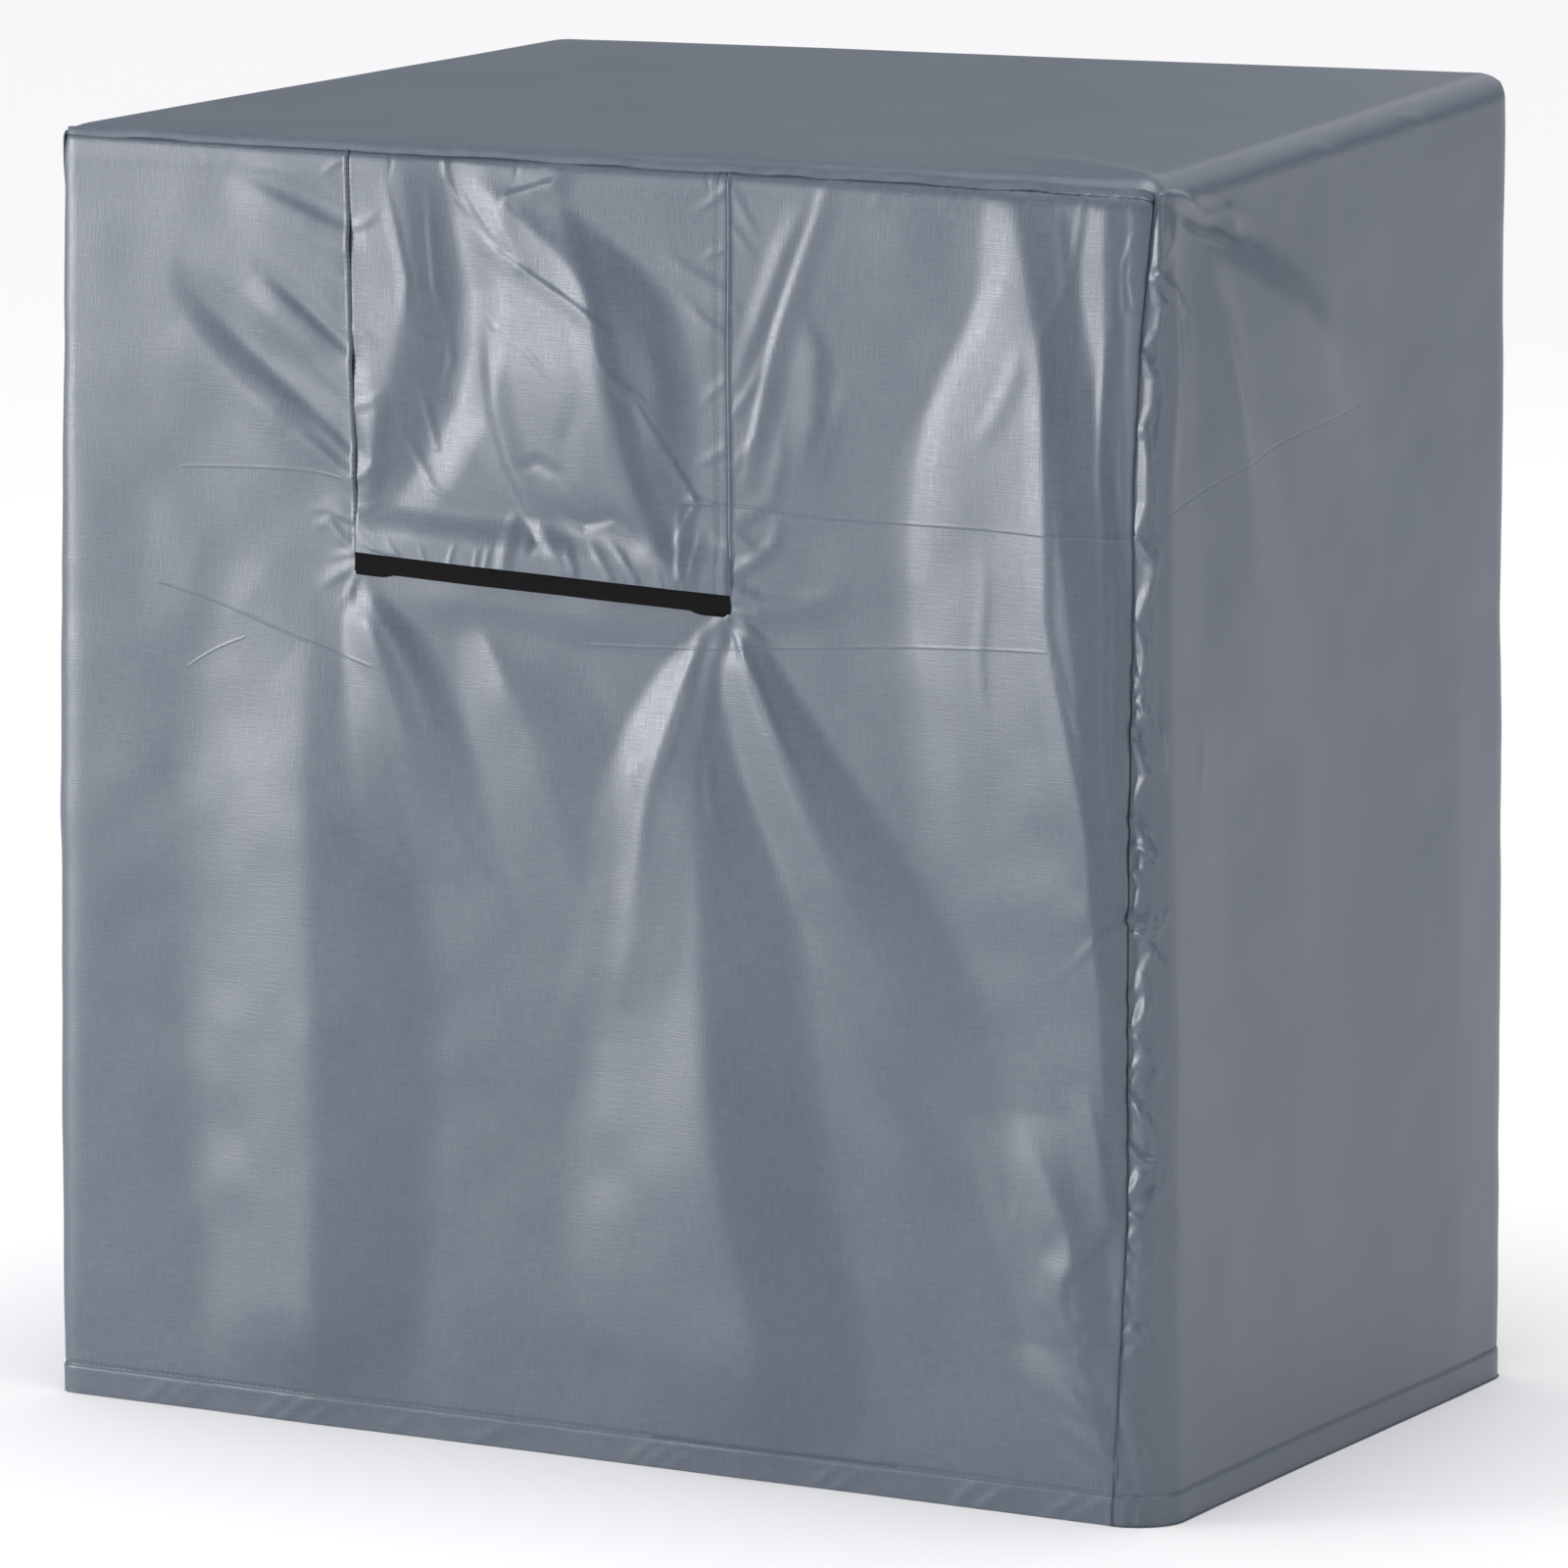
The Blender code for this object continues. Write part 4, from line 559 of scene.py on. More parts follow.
GUSSET_WRINKLES = (
    # Gathers of the strip beside the corner seam: outlines of small puffed lobes
    Wrinkle(8, 7, ((841, 62, 3.4), (855, 70, 3), (872, 84, 1.4), (883, 96, 0))),
    Wrinkle(8, 5, ((838, 66, 2), (848, 82, 3.4), (844, 100, 3), (830, 113, 1.8))),
    Wrinkle(6, 7, ((848, 12, 1), (844, 30, 2.4), (841, 58, 2.6))),
    Wrinkle(9, 9, ((862, 22, 0), (855, 40, 2.4), (841, 60, 2))),
    Wrinkle(8, 5, ((831, 116, 1.8), (839, 130, 3), (838, 150, 3), (831, 166, 1.6))),
    Wrinkle(8, 7, ((832, 166, 1.6), (834, 185, 2.8), (834, 215, 3), (826, 236, 1.8))),
    Wrinkle(6, 7, ((855, 120, 0), (848, 150, 1.6), (841, 180, 1.4), (838, 200, 0))),
    Wrinkle(8, 5, ((826, 240, 1.8), (838, 254, 3.2), (838, 270, 3.2), (826, 296, 1.8))),
    Wrinkle(6, 7, ((841, 228, 0), (844, 246, 1.8), (841, 262, 2))),
    Wrinkle(8, 5, ((826, 300, 1.6), (832, 316, 2.8), (831, 340, 3), (832, 358, 2.8), (822, 368, 1.6))),
    Wrinkle(6, 5, ((822, 328, 1.8), (827, 336, 2), (823, 346, 1.4))),
    Wrinkle(4, 5, ((822, 352, 1), (828, 350, 2), (832, 358, 2))),
    Wrinkle(9, 7, ((838, 358, 0), (848, 374, 2), (853, 390, 1.6), (848, 404, 0))),
    Wrinkle(8, 5, ((821, 370, 1.8), (828, 385, 3), (834, 400, 3.6), (827, 415, 3), (823, 429, 1.6))),
    Wrinkle(8, 5, ((823, 430, 1.6), (831, 441, 3), (841, 455, 3.6))),
    Wrinkle(4, 7, ((820, 457, 1.6), (824, 450, 2.6), (830, 449, 3), (841, 457, 3))),
    Wrinkle(6, 7, ((831, 452, 2.6), (832, 463, 2.4), (826, 470, 1.8), (820, 462, 1.2))),
    Wrinkle(6, 5, ((826, 467, 1.6), (830, 477, 2.8), (827, 490, 2.8), (820, 498, 1.6))),
    Wrinkle(4, 9, ((818, 500, 2.6), (828, 501, 3.2), (839, 501, 1.8))),
    Wrinkle(6, 7, ((824, 509, 1.8), (832, 507, 3), (844, 508, 2.4), (858, 497, 0.8))),
    Wrinkle(8, 5, ((829, 508, 2), (839, 520, 3.8), (832, 536, 3), (834, 556, 3.2), (828, 579, 2))),
    Wrinkle(8, 5, ((826, 580, 1.6), (834, 592, 3), (828, 606, 1.8), (820, 618, 1))),
    Wrinkle(8, 7, ((841, 524, 1.6), (855, 532, 1.6), (872, 548, 0))),
    Wrinkle(6, 7, ((820, 552, 1.6), (826, 546, 2.2), (829, 538, 1.4))),
    Wrinkle(6, 7, ((820, 576, 1.6), (828, 566, 2.4), (831, 556, 1.6))),
    Wrinkle(4, 5, ((820, 604, 1.2), (826, 597, 1.8), (828, 592, 1))),
    Wrinkle(9, 9, ((858, 590, 0), (844, 606, 1.8), (832, 622, 0))),
    Wrinkle(9, 5, ((820, 620, 1.4), (833, 635, 3.4), (843, 650, 3.8), (843, 664, 3.6), (832, 677, 3),
                   (822, 694, 1.6))),
    Wrinkle(6, 5, ((820, 655, 1.6), (828, 664, 2.6), (841, 666, 2.8))),
    Wrinkle(6, 7, ((819, 690, 1.8), (824, 682, 2.6), (828, 674, 1.6))),
    Wrinkle(4, 5, ((826, 628, 1), (828, 640, 1.6), (832, 652, 1.4))),
    Wrinkle(6, 5, ((819, 700, 1.2), (829, 707, 2.6), (821, 719, 1.4))),
    Wrinkle(9, 11, ((862, 676, 0), (841, 690, 2.6), (823, 702, 2))),
    Wrinkle(4, 5, ((817, 726, 1), (821, 732, 1.6), (817, 738, 1))),
    Wrinkle(4, 5, ((817, 744, 0.8), (820, 752, 1.2), (816, 760, 0.8))),
    Wrinkle(4, 5, ((816, 762, 1.2), (818, 770, 1.6), (813, 778, 1))),
    Wrinkle(9, 9, ((848, 712, 0), (838, 740, 1.4), (841, 770, 0))),
    Wrinkle(8, 7, ((812, 786, 1.4), (824, 783, 2.4), (836, 790, 2), (853, 806, 1), (862, 822, 0))),
    Wrinkle(6, 7, ((812, 802, 1.4), (821, 801, 1.8), (831, 795, 1))),
    Wrinkle(9, 13, ((812, 812, 1), (820, 845, 1.8), (827, 875, 2), (834, 896, 1))),
    Wrinkle(8, 9, ((826, 826, 0), (838, 850, 1), (848, 880, 0))),
    # Hem round the corner
    Wrinkle(4, 3, ((816, 918, 1.2), (817, 908, 1.6), (820, 899, 0.8))),
    Wrinkle(4, 3, ((826, 918, 1), (828, 908, 1.4), (832, 899, 0.6))),
    # Side: creases drawn out of the crumpled corner
    Wrinkle(9, 7, ((848, 5, 3.5), (872, 12, 4.2), (900, 24, 3.4), (924, 33, 2.6), (948, 32, 0.8))),
    Wrinkle(8, 8, ((948, 32, 0.8), (962, 44, 2.2), (972, 58, 1.6), (985, 70, 0))),
    Wrinkle(40, 34, ((930, 40, 0), (975, 66, 3.5), (1030, 102, 5), (1085, 138, 3), (1120, 162, 0))),
    Wrinkle(16, 14, ((850, 60, 0), (862, 90, 3), (868, 130, 3), (862, 180, 1.5), (858, 220, 0))),
    Wrinkle(6, 3, ((868, 30, 0), (900, 42, 1.4), (930, 50, 1.6), (962, 57, 0))),
    Wrinkle(5, 4, ((944, 28, 0), (958, 42, 1.4), (966, 58, 0.6))),
    Wrinkle(14, 16, ((905, 62, 0), (932, 110, 1.6), (955, 170, 1.6), (975, 225, 0))),
    Wrinkle(5, 6, ((866, 70, 0), (886, 96, 1.2), (898, 130, 0))),
    Wrinkle(7, 7, ((1080, 2, 0.6), (1110, 18, 1.2), (1138, 36, 0))),
    Wrinkle(7, 7, ((1230, 2, 0.6), (1252, 14, 1), (1274, 26, 0))),
    Wrinkle(6, 6, ((1010, 300, 0), (1016, 330, 0.8), (1018, 372, 0))),
    Wrinkle(5, 5, ((905, 360, 0), (912, 400, 0.9), (905, 450, 0))),
    Wrinkle(4, 3, ((1040, 236, 0), (1060, 250, 0.7), (1072, 272, 0))),
)

CREASES = (
    Crease(((0.095, 0.238), (0.150, 0.235), (0.205, 0.235), (0.229, 0.239)), 0.7),
    Crease(((0.455, 0.243), (0.520, 0.237), (0.600, 0.241), (0.720, 0.239), (0.838, 0.241)), 1.0),
    Crease(((0.405, 0.342), (0.500, 0.338), (0.600, 0.330), (0.700, 0.322), (0.775, 0.318)), 0.8),
    Crease(((0.075, 0.320), (0.130, 0.333), (0.200, 0.355), (0.258, 0.370)), 0.8),
    Crease(((0.104, 0.381), (0.128, 0.366), (0.152, 0.356)), 0.6),
    Crease(((RIGHT, 0.226), (RIGHT + 0.14, 0.207), (RIGHT + 0.33, 0.194)), 0.6),
)


def smooth(share: Array) -> Array:
    """Eases from 0 to 1 as share goes from 0 to 1."""
    share = np.clip(share, 0.0, 1.0)
    return share * share * (3.0 - 2.0 * share)


def soft_noise(x: Array, y: Array, pitch: float, seed: int) -> Array:
    """Smooth random relief between -1 and 1.

    Args:
        x: First coordinate in metres.
        y: Second coordinate in metres.
        pitch: Size of its swells in metres.
        seed: Picks the pattern.

    Returns:
        The relief at each place.
    """
    size = 64
    lattice = np.random.default_rng(seed).uniform(-1.0, 1.0, (size, size))
    u, v = x / pitch + 17.3, y / pitch + 23.7
    i, j = np.floor(u).astype(int), np.floor(v).astype(int)
    s, t = smooth(u - i), smooth(v - j)
    near = lattice[i % size, j % size] * (1 - s) + lattice[(i + 1) % size, j % size] * s
    far = lattice[i % size, (j + 1) % size] * (1 - s) + lattice[(i + 1) % size, (j + 1) % size] * s
    return near * (1 - t) + far * t


def eased_table(places: Array, values: Array, at: Array) -> Array:
    """Values of a short table on a smooth curve, level past its ends.

    Args:
        places: Where the rows stand.
        values: The value in each row.
        at: Where to read the curve.

    Returns:
        The curve's values.
    """
    slopes = np.empty_like(values)
    slopes[1:-1] = (values[2:] - values[:-2]) / (places[2:] - places[:-2])
    slopes[0] = (values[1] - values[0]) / (places[1] - places[0])
    slopes[-1] = (values[-1] - values[-2]) / (places[-1] - places[-2])
    at = np.clip(at, places[0], places[-1])
    i = np.clip(np.searchsorted(places, at, side="right") - 1, 0, len(places) - 2)
    step = places[i + 1] - places[i]
    t = (at - places[i]) / step
    ends = (1 + 2 * t) * (1 - t) ** 2 * values[i] + t * t * (3 - 2 * t) * values[i + 1]
    return ends + step * t * (1 - t) * ((1 - t) * slopes[i] - t * slopes[i + 1])


def graded(table: Sequence[tuple]) -> Array:
    """Grid lines whose spacing follows a short table of (place, spacing)."""
    places = np.array([row[0] for row in table])
    fine = np.linspace(places[0], places[-1], 4001)
    density = 1.0 / np.interp(fine, places, [row[1] for row in table])
    total = np.concatenate([[0.0], np.cumsum((density[1:] + density[:-1]) / 2 * np.diff(fine))])
    count = max(int(round(total[-1])), 1)
    return np.interp(np.linspace(0.0, total[-1], count + 1), total, fine)


@dataclass(frozen=True)
class HungShape:
    """The form on which every panel hangs."""

    left_wrap: float = 0.009
    seam_run_in: float = 0.050
    window_left_top: float = 0.230
    window_left_foot: float = 0.239
    window_right_top: float = 0.522
    window_right_foot: float = 0.525
    strip_down: float = 0.299
    strip_rise: float = 0.010
    tape_shows: float = 0.0135
    strip_calm: float = 0.016
    strip_calm_edge: float = 0.030
    strip_bulge: float = 0.003
    fold_end: float = 0.040
    crest_share: float = 0.25
    seen_aside: float = 0.577
    seen_lower: float = 0.193

    def right_seam(self, down: Array) -> Array:
        """Place around of the seam between the front panel and the gusset."""
        downs = [row.down for row in RIGHT_SEAM]
        return RIGHT - np.interp(down, downs, [row.inset for row in RIGHT_SEAM])

    def left_seam(self, down: Array) -> Array:
        """Place around of the seam just round the left corner."""
        return -self.left_wrap * np.minimum(down / self.seam_run_in, 1.0)

    def window_left(self, down: Array) -> Array:
        """Left side of the window."""
        lean = self.window_left_foot - self.window_left_top
        return self.window_left_top + lean * np.minimum(down / self.strip_down, 1.0)

    def window_right(self, down: Array) -> Array:
        """Right side of the window."""
        lean = self.window_right_foot - self.window_right_top
        return self.window_right_top + lean * np.minimum(down / self.strip_down, 1.0)

    def strip_share(self, around: Array) -> Array:
        """0 at the strip's left end, 1 at its right end."""
        length = self.window_right_foot - self.window_left_foot
        return np.clip((around - self.window_left_foot) / length, 0.0, 1.0)

    def strip_top(self, around: Array) -> Array:
        """How far down the flap's lower edge lies."""
        return self.strip_down - self.strip_rise * (1.0 - self.strip_share(around))

    def fold_height(self, fold: Fold, around: Array, down: Array) -> Array:
        """Height that one fold adds.

        Args:
            fold: The fold.
            around: Places around the cover.
            down: Places down from the top edge.

        Returns:
            The height in metres, with the fold's ends eased away.
        """
        along, beside = (down, around) if fold.runs is Run.DOWN else (around, down)
        table = np.array(fold.sections)
        places = table[:, 0]
        past = np.maximum(np.maximum(places[0] - along, along - places[-1]), 0.0)
        crest, before, after, height = (eased_table(places, table[:, k], along) for k in range(1, 5))
        share = np.abs(beside - crest) / np.maximum(np.where(beside < crest, before, after), 1e-4)
        c, f = fold.crest_round, fold.foot_round
        rise = 1.0 - (np.sqrt(share * share + c * c) - c)
        eased = np.where(rise >= f, rise, np.where(rise <= -f, 0.0, (rise + f) ** 2 / (4.0 * f)))
        return height * eased * (1.0 - smooth(past / self.fold_end))

    def wrinkle_height(self, wrinkle: Wrinkle, across: Array, down: Array, hold: float) -> Array:
        """Height that one wrinkle adds at places given in millimetres as seen.

        Args:
            wrinkle: The wrinkle.
            across: Places around the cover.
            down: Places down from the top edge.
            hold: Share of their height that the narrowest wrinkles keep.

        Returns:
            The height in metres.
        """
        path = np.array(wrinkle.path)
        most = max(wrinkle.left, wrinkle.right)
        low, high = path[:, :2].min(axis=0) - most, path[:, :2].max(axis=0) + most
        near = (across > low[0]) & (across < high[0]) & (down > low[1]) & (down < high[1])
        total = np.zeros_like(across)
        x, y = across[near], down[near]
        least = np.full(x.shape, 1e9)
        height, reach = np.zeros_like(x), np.ones_like(x)
        for start, end in zip(path[:-1], path[1:]):
            run = end - start
            share = ((x - start[0]) * run[0] + (y - start[1]) * run[1]) / (run[0] ** 2 + run[1] ** 2)
            share = np.clip(share, 0.0, 1.0)
            off_x, off_y = x - start[0] - share * run[0], y - start[1] - share * run[1]
            off = np.hypot(off_x, off_y)
            closer = off < least
            least = np.where(closer, off, least)
            height = np.where(closer, start[2] + share * run[2], height)
            side = run[0] * off_y - run[1] * off_x
            reach = np.where(closer, np.where(side > 0.0, wrinkle.left, wrinkle.right), reach)
        crest = self.crest_share * reach
        share = np.clip(1.0 - (np.hypot(least, crest) - crest) / (reach - 0.5 * crest), 0.0, 1.0)
        kept = hold + (1.0 - hold) * float(smooth(np.array((most - 6.0) / 20.0)))
        total[near] = kept * height * share * share * (1.6 - 0.6 * share) / MILLIMETRES
        return total

    def wrinkled(
        self, wrinkles: Sequence[Wrinkle], around: Array, down: Array, hold: float = 0.5
    ) -> Array:
        """All wrinkles of one table, moved with the folds that carry them."""
        lift = self.wall_lift(around, down)
        across_seen = MILLIMETRES * (around - self.seen_aside * lift)
        down_seen = MILLIMETRES * (down + self.seen_lower * lift)
        return sum(self.wrinkle_height(one, across_seen, down_seen, hold) for one in wrinkles)

    def calm(self, around: Array, down: Array) -> Array:
        """1 on the strip, where the cloth is held flat, easing to 0 away from it."""
        off = np.abs(down - self.strip_top(around) - self.tape_shows / 2.0)
        beside = np.maximum(self.window_left_foot - around, around - self.window_right_foot)
        near = 1.0 - smooth((off - self.strip_calm) / self.strip_calm_edge)
        return near * (1.0 - smooth(np.maximum(beside, 0.0) / self.strip_calm))

    def wall_lift(self, around: Array, down: Array) -> Array:
        """How far the hung cloth stands out from the plain wall."""
        lift = np.zeros_like(around)
        for fold in MAIN_FOLDS:
            lift += self.fold_height(fold, around, down)
        share = self.strip_share(around)
        calm = self.calm(around, down)
        lift = lift * (1.0 - calm) + self.strip_bulge * 4.0 * share * (1.0 - share) * calm
        lift += 0.0012 * soft_noise(around, down, 0.110, 3) + 0.0005 * soft_noise(around, down, 0.037, 8)
        hem_share = smooth((down - HEIGHT + 4.0 * HEM) / (4.0 * HEM))
        return lift * smooth(down / TOP_CALM) * (1.0 - (1.0 - HEM_HOLD) * hem_share)

    def wall_box(self, around: Array, down: Array) -> Array:
        """The place on the sharp box for places on its walls."""
        half_w, half_d = WIDTH / 2.0, DEPTH / 2.0
        x = np.select(
            [around < 0.0, around <= RIGHT, around <= BACK],
            [-half_w + 0.0 * around, around - half_w, half_w + 0.0 * around],
            half_w - (around - BACK),
        )
        y = np.select(
            [around < 0.0, around <= RIGHT, around <= BACK],
            [-half_d - around, -half_d + 0.0 * around, around - RIGHT - half_d],
            half_d + 0.0 * around,
        )
        return np.stack([x, y, TOP_LEVEL - down], axis=-1)

    def hang(self, box: Array, lift: Array) -> Array:
        """Rounds, shifts and lifts points of the sharp box.

        Args:
            box: Points on the sharp box, shape (..., 3).
            lift: How far each stands out.

        Returns:
            Places in the room.
        """
        low = np.clip((TOP_LEVEL - box[..., 2]) / HEIGHT, 0.0, 1.0)
        shares = (box[..., 0] / WIDTH + 0.5, box[..., 1] / DEPTH + 0.5, low)
        shift = np.zeros_like(box)
        radius = np.zeros_like(lift)
        for corner in CORNERS:
            weight = np.ones_like(lift)
            for share, far in zip(shares, (corner.right, corner.back, corner.low)):
                weight = weight * (share if far else 1.0 - share)
            shift += weight[..., None] * np.array([corner.shift_x, corner.shift_y, corner.shift_z])
            radius += weight * corner.radius
        half_x, half_y = WIDTH / 2.0 - radius, DEPTH / 2.0 - radius
        core = np.stack([
            np.clip(box[..., 0], -half_x, half_x),
            np.clip(box[..., 1], -half_y, half_y),
            np.minimum(box[..., 2], TOP_LEVEL - radius),
        ], axis=-1)
        out = box - core
        out /= np.linalg.norm(out, axis=-1, keepdims=True)
        return core + out * (radius + lift)[..., None] + shift

    def on_wall(self, around: Array, down: Array, extra: Union[Array, float] = 0.0) -> Array:
        """Places of cloth hung on the walls, extra metres in front of the form."""
        return self.hang(self.wall_box(around, down), self.wall_lift(around, down) + extra)

    def on_top(self, x: Array, y: Array) -> Array:
        """Places of the cloth that lies on the top."""
        edge = np.minimum(WIDTH / 2.0 - np.abs(x), DEPTH / 2.0 - np.abs(y))
        lift = np.zeros_like(x)
        for fold in TOP_FOLDS:
            lift += self.fold_height(fold, x, y)
        lift += 0.0010 * soft_noise(x, y, 0.130, 5)
        box = np.stack([x, y, np.full_like(x, TOP_LEVEL)], axis=-1)
        return self.hang(box, lift * smooth(edge / TOP_CALM))


SHAPE = HungShape()


class Signal:
    """A shader socket whose arithmetic adds Math nodes."""

    def __init__(self, graph: "Graph", socket: bpy.types.NodeSocket) -> None:
        """Keeps the socket and the graph that it is in."""
        self.graph = graph
        self.socket = socket

    def _math(self, operation: str, first: "Value", second: "Value") -> "Signal":
        """Adds one Math node."""
        return self.graph.node("ShaderNodeMath", {"operation": operation}, {0: first, 1: second})

    def __add__(self, other: "Value") -> "Signal":
        """Sum."""
        return self._math("ADD", self, other)

    def __radd__(self, other: "Value") -> "Signal":
        """Sum, reflected."""
        return self._math("ADD", other, self)

    def __sub__(self, other: "Value") -> "Signal":
        """Difference."""
        return self._math("SUBTRACT", self, other)

    def __rsub__(self, other: "Value") -> "Signal":
        """Difference, reflected."""
        return self._math("SUBTRACT", other, self)

    def __mul__(self, other: "Value") -> "Signal":
        """Product."""
        return self._math("MULTIPLY", self, other)

    def __rmul__(self, other: "Value") -> "Signal":
        """Product, reflected."""
        return self._math("MULTIPLY", other, self)


Value = Union[Signal, float, tuple]


class Graph:
    """Builds one material's nodes."""

    def __init__(self, name: str) -> None:
        """Makes an empty material with a Principled shader and its output."""
        self.material = bpy.data.materials.new(name)
        self.material.use_nodes = True
        self.tree = self.material.node_tree
        self.shader = self.tree.nodes["Principled BSDF"]

    def node(self, kind: str, settings: dict, inputs: dict, output: Union[int, str] = 0) -> Signal:
        """Adds a node.

        Args:
            kind: The node's type.
            settings: Its properties, set before its sockets are filled.
            inputs: Socket index or name to a value or a link.
            output: Which output to return.

        Returns:
            The output as a signal.
        """
        made = self.tree.nodes.new(kind)
        for key, value in settings.items():
            setattr(made, key, value)
        for key, value in inputs.items():
            self.feed(made.inputs[key], value)
        return Signal(self, made.outputs[output])

    def feed(self, socket: bpy.types.NodeSocket, value: Value) -> None:
        """Links a signal to a socket, or sets a constant on it."""
        if isinstance(value, Signal):
            self.tree.links.new(value.socket, socket)
        else:
            socket.default_value = value

    def set(self, name: str, value: Value) -> None:
        """Feeds one socket of the shader."""
        self.feed(self.shader.inputs[name], value)

    def vector(self, operation: str, first: Value, second: Value = (0.0, 0.0, 0.0)) -> Signal:
        """Adds a Vector Math node."""
        return self.node("ShaderNodeVectorMath", {"operation": operation}, {0: first, 1: second})

    def tint(self, factor: Value, first: tuple, second: Value) -> Signal:
        """Mixes two colours."""
        return self.node(
            "ShaderNodeMix", {"data_type": "RGBA"}, {0: factor, 6: first, 7: second}, 2
        )

    def noise(self, place: Signal, scale: float, detail: float = 2.0) -> Signal:
        """Fractal noise around 0.5."""
        inputs = {"Vector": place, "Scale": scale, "Detail": detail, "Roughness": 0.55}
        return self.node("ShaderNodeTexNoise", {}, inputs)

    def curve(self, value: Signal, points: Sequence[tuple]) -> Signal:
        """A smooth curve through points whose places run from 0 to 1."""
        made = self.node("ShaderNodeFloatCurve", {}, {"Value": value})
        line = made.socket.node.mapping.curves[0]
        line.points[0].location, line.points[1].location = points[0], points[-1]
        for point in points[1:-1]:
            line.points.new(*point)
        made.socket.node.mapping.update()
        return made

    def bump(self, height: Signal) -> None:
        """Feeds a height in metres to the shader's normal."""
        inputs = {"Strength": 1.0, "Distance": 1.0, "Height": height}
        self.set("Normal", self.node("ShaderNodeBump", {}, inputs))

    def stepped(self, value: Signal, low: float, high: float) -> Signal:
        """0 below low, 1 above high, smooth between."""
        settings = {"interpolation_type": "SMOOTHSTEP"}
        return self.node("ShaderNodeMapRange", settings, {0: value, 1: low, 2: high, 3: 0.0, 4: 1.0})


@dataclass(frozen=True)
class CoatedCloth:
    """Satin, coated plain-weave polyester."""

    name: str
    colour: tuple = (0.066, 0.087, 0.123, 1.0)
    light_colour: tuple = (0.088, 0.114, 0.146, 1.0)
    specular: float = 0.85
    roughness: float = 0.41
    thread_pitch: float = 0.0010
    grain_depth: float = 0.00012
    crease_width: float = 0.0018
    crease_depth: float = 0.00026
    creases: tuple = ()

    def crease_lines(self, graph: Graph, place: Signal) -> Value:
        """Pressed lines left by packing, 1 on a line and 0 off it."""
        around = graph.node("ShaderNodeSeparateXYZ", {}, {0: place}, 0)
        height = graph.node("ShaderNodeSeparateXYZ", {}, {0: place}, 1)
        total: Value = 0.0
        for crease in self.creases:
            first, last = crease.points[0][0], crease.points[-1][0]
            share = (around - first) * (1.0 / (last - first))
            line = graph.curve(share, [((a - first) / (last - first), d) for a, d in crease.points])
            off = graph.node("ShaderNodeMath", {"operation": "ABSOLUTE"}, {0: height + line})
            ends = graph.stepped(share, 0.0, 0.06) * (1.0 - graph.stepped(share, 0.94, 1.0))
            total = total + (1.0 - graph.stepped(off, 0.0, self.crease_width)) * ends * crease.depth
        return total

    def build(self) -> bpy.types.Material:
        """Makes the material."""
        graph = Graph(self.name)
        place = graph.node("ShaderNodeUVMap", {"uv_map": "cloth"}, {})
        across = graph.vector("MULTIPLY", place, (1.0 / self.thread_pitch, 60.0, 1.0))
        downward = graph.vector("MULTIPLY", place, (60.0, 1.0 / self.thread_pitch, 1.0))
        weave = (graph.noise(across, 1.0, 0.0) + graph.noise(downward, 1.0, 0.0)) * 0.5
        cloud = graph.noise(place, 9.0, 2.0)
        shade = weave * 2.2 + cloud * 0.8 - 1.0
        settings = {"operation": "ADD", "use_clamp": True}
        factor = graph.node("ShaderNodeMath", settings, {0: shade, 1: 0.0})
        graph.set("Base Color", graph.tint(factor, self.colour, self.light_colour))
        graph.set("Roughness", self.roughness + (weave - 0.5) * 0.20)
        graph.set("Specular IOR Level", self.specular)
        height = weave * self.grain_depth
        if self.creases:
            height = height + self.crease_lines(graph, place) * self.crease_depth
        graph.bump(height)
        return graph.material


@dataclass(frozen=True)
class StripTape:
    """Matte black hook-and-loop tape with a napped face."""

    name: str
    colour: tuple = (0.0030, 0.0030, 0.0034, 1.0)
    nap_colour: tuple = (0.0085, 0.0085, 0.0095, 1.0)
    nap_scale: float = 900.0
    nap_depth: float = 0.0006
    roughness: float = 0.75
    specular: float = 0.12

    def build(self) -> bpy.types.Material:
        """Makes the material."""
        graph = Graph(self.name)
        place = graph.node("ShaderNodeUVMap", {"uv_map": "cloth"}, {})
        nap = graph.noise(place, self.nap_scale, 3.0)
        graph.set("Base Color", graph.tint(nap, self.colour, self.nap_colour))
        graph.set("Roughness", self.roughness + nap * 0.2)
        graph.set("Specular IOR Level", self.specular)
        graph.bump(nap * self.nap_depth)
        return graph.material


@dataclass(frozen=True)
class SewingThread:
    """Twisted polyester thread."""

    name: str
    colour: tuple = (0.17, 0.20, 0.24, 1.0)
    dark: tuple = (0.10, 0.12, 0.15, 1.0)
    twist_scale: float = 2500.0
    roughness: float = 0.55

    def build(self) -> bpy.types.Material:
        """Makes the material."""
        graph = Graph(self.name)
        place = graph.node("ShaderNodeTexCoord", {}, {}, "Object")
        twist = graph.noise(place, self.twist_scale, 1.0)
        graph.set("Base Color", graph.tint(twist, self.dark, self.colour))
        graph.set("Roughness", self.roughness)
        return graph.material


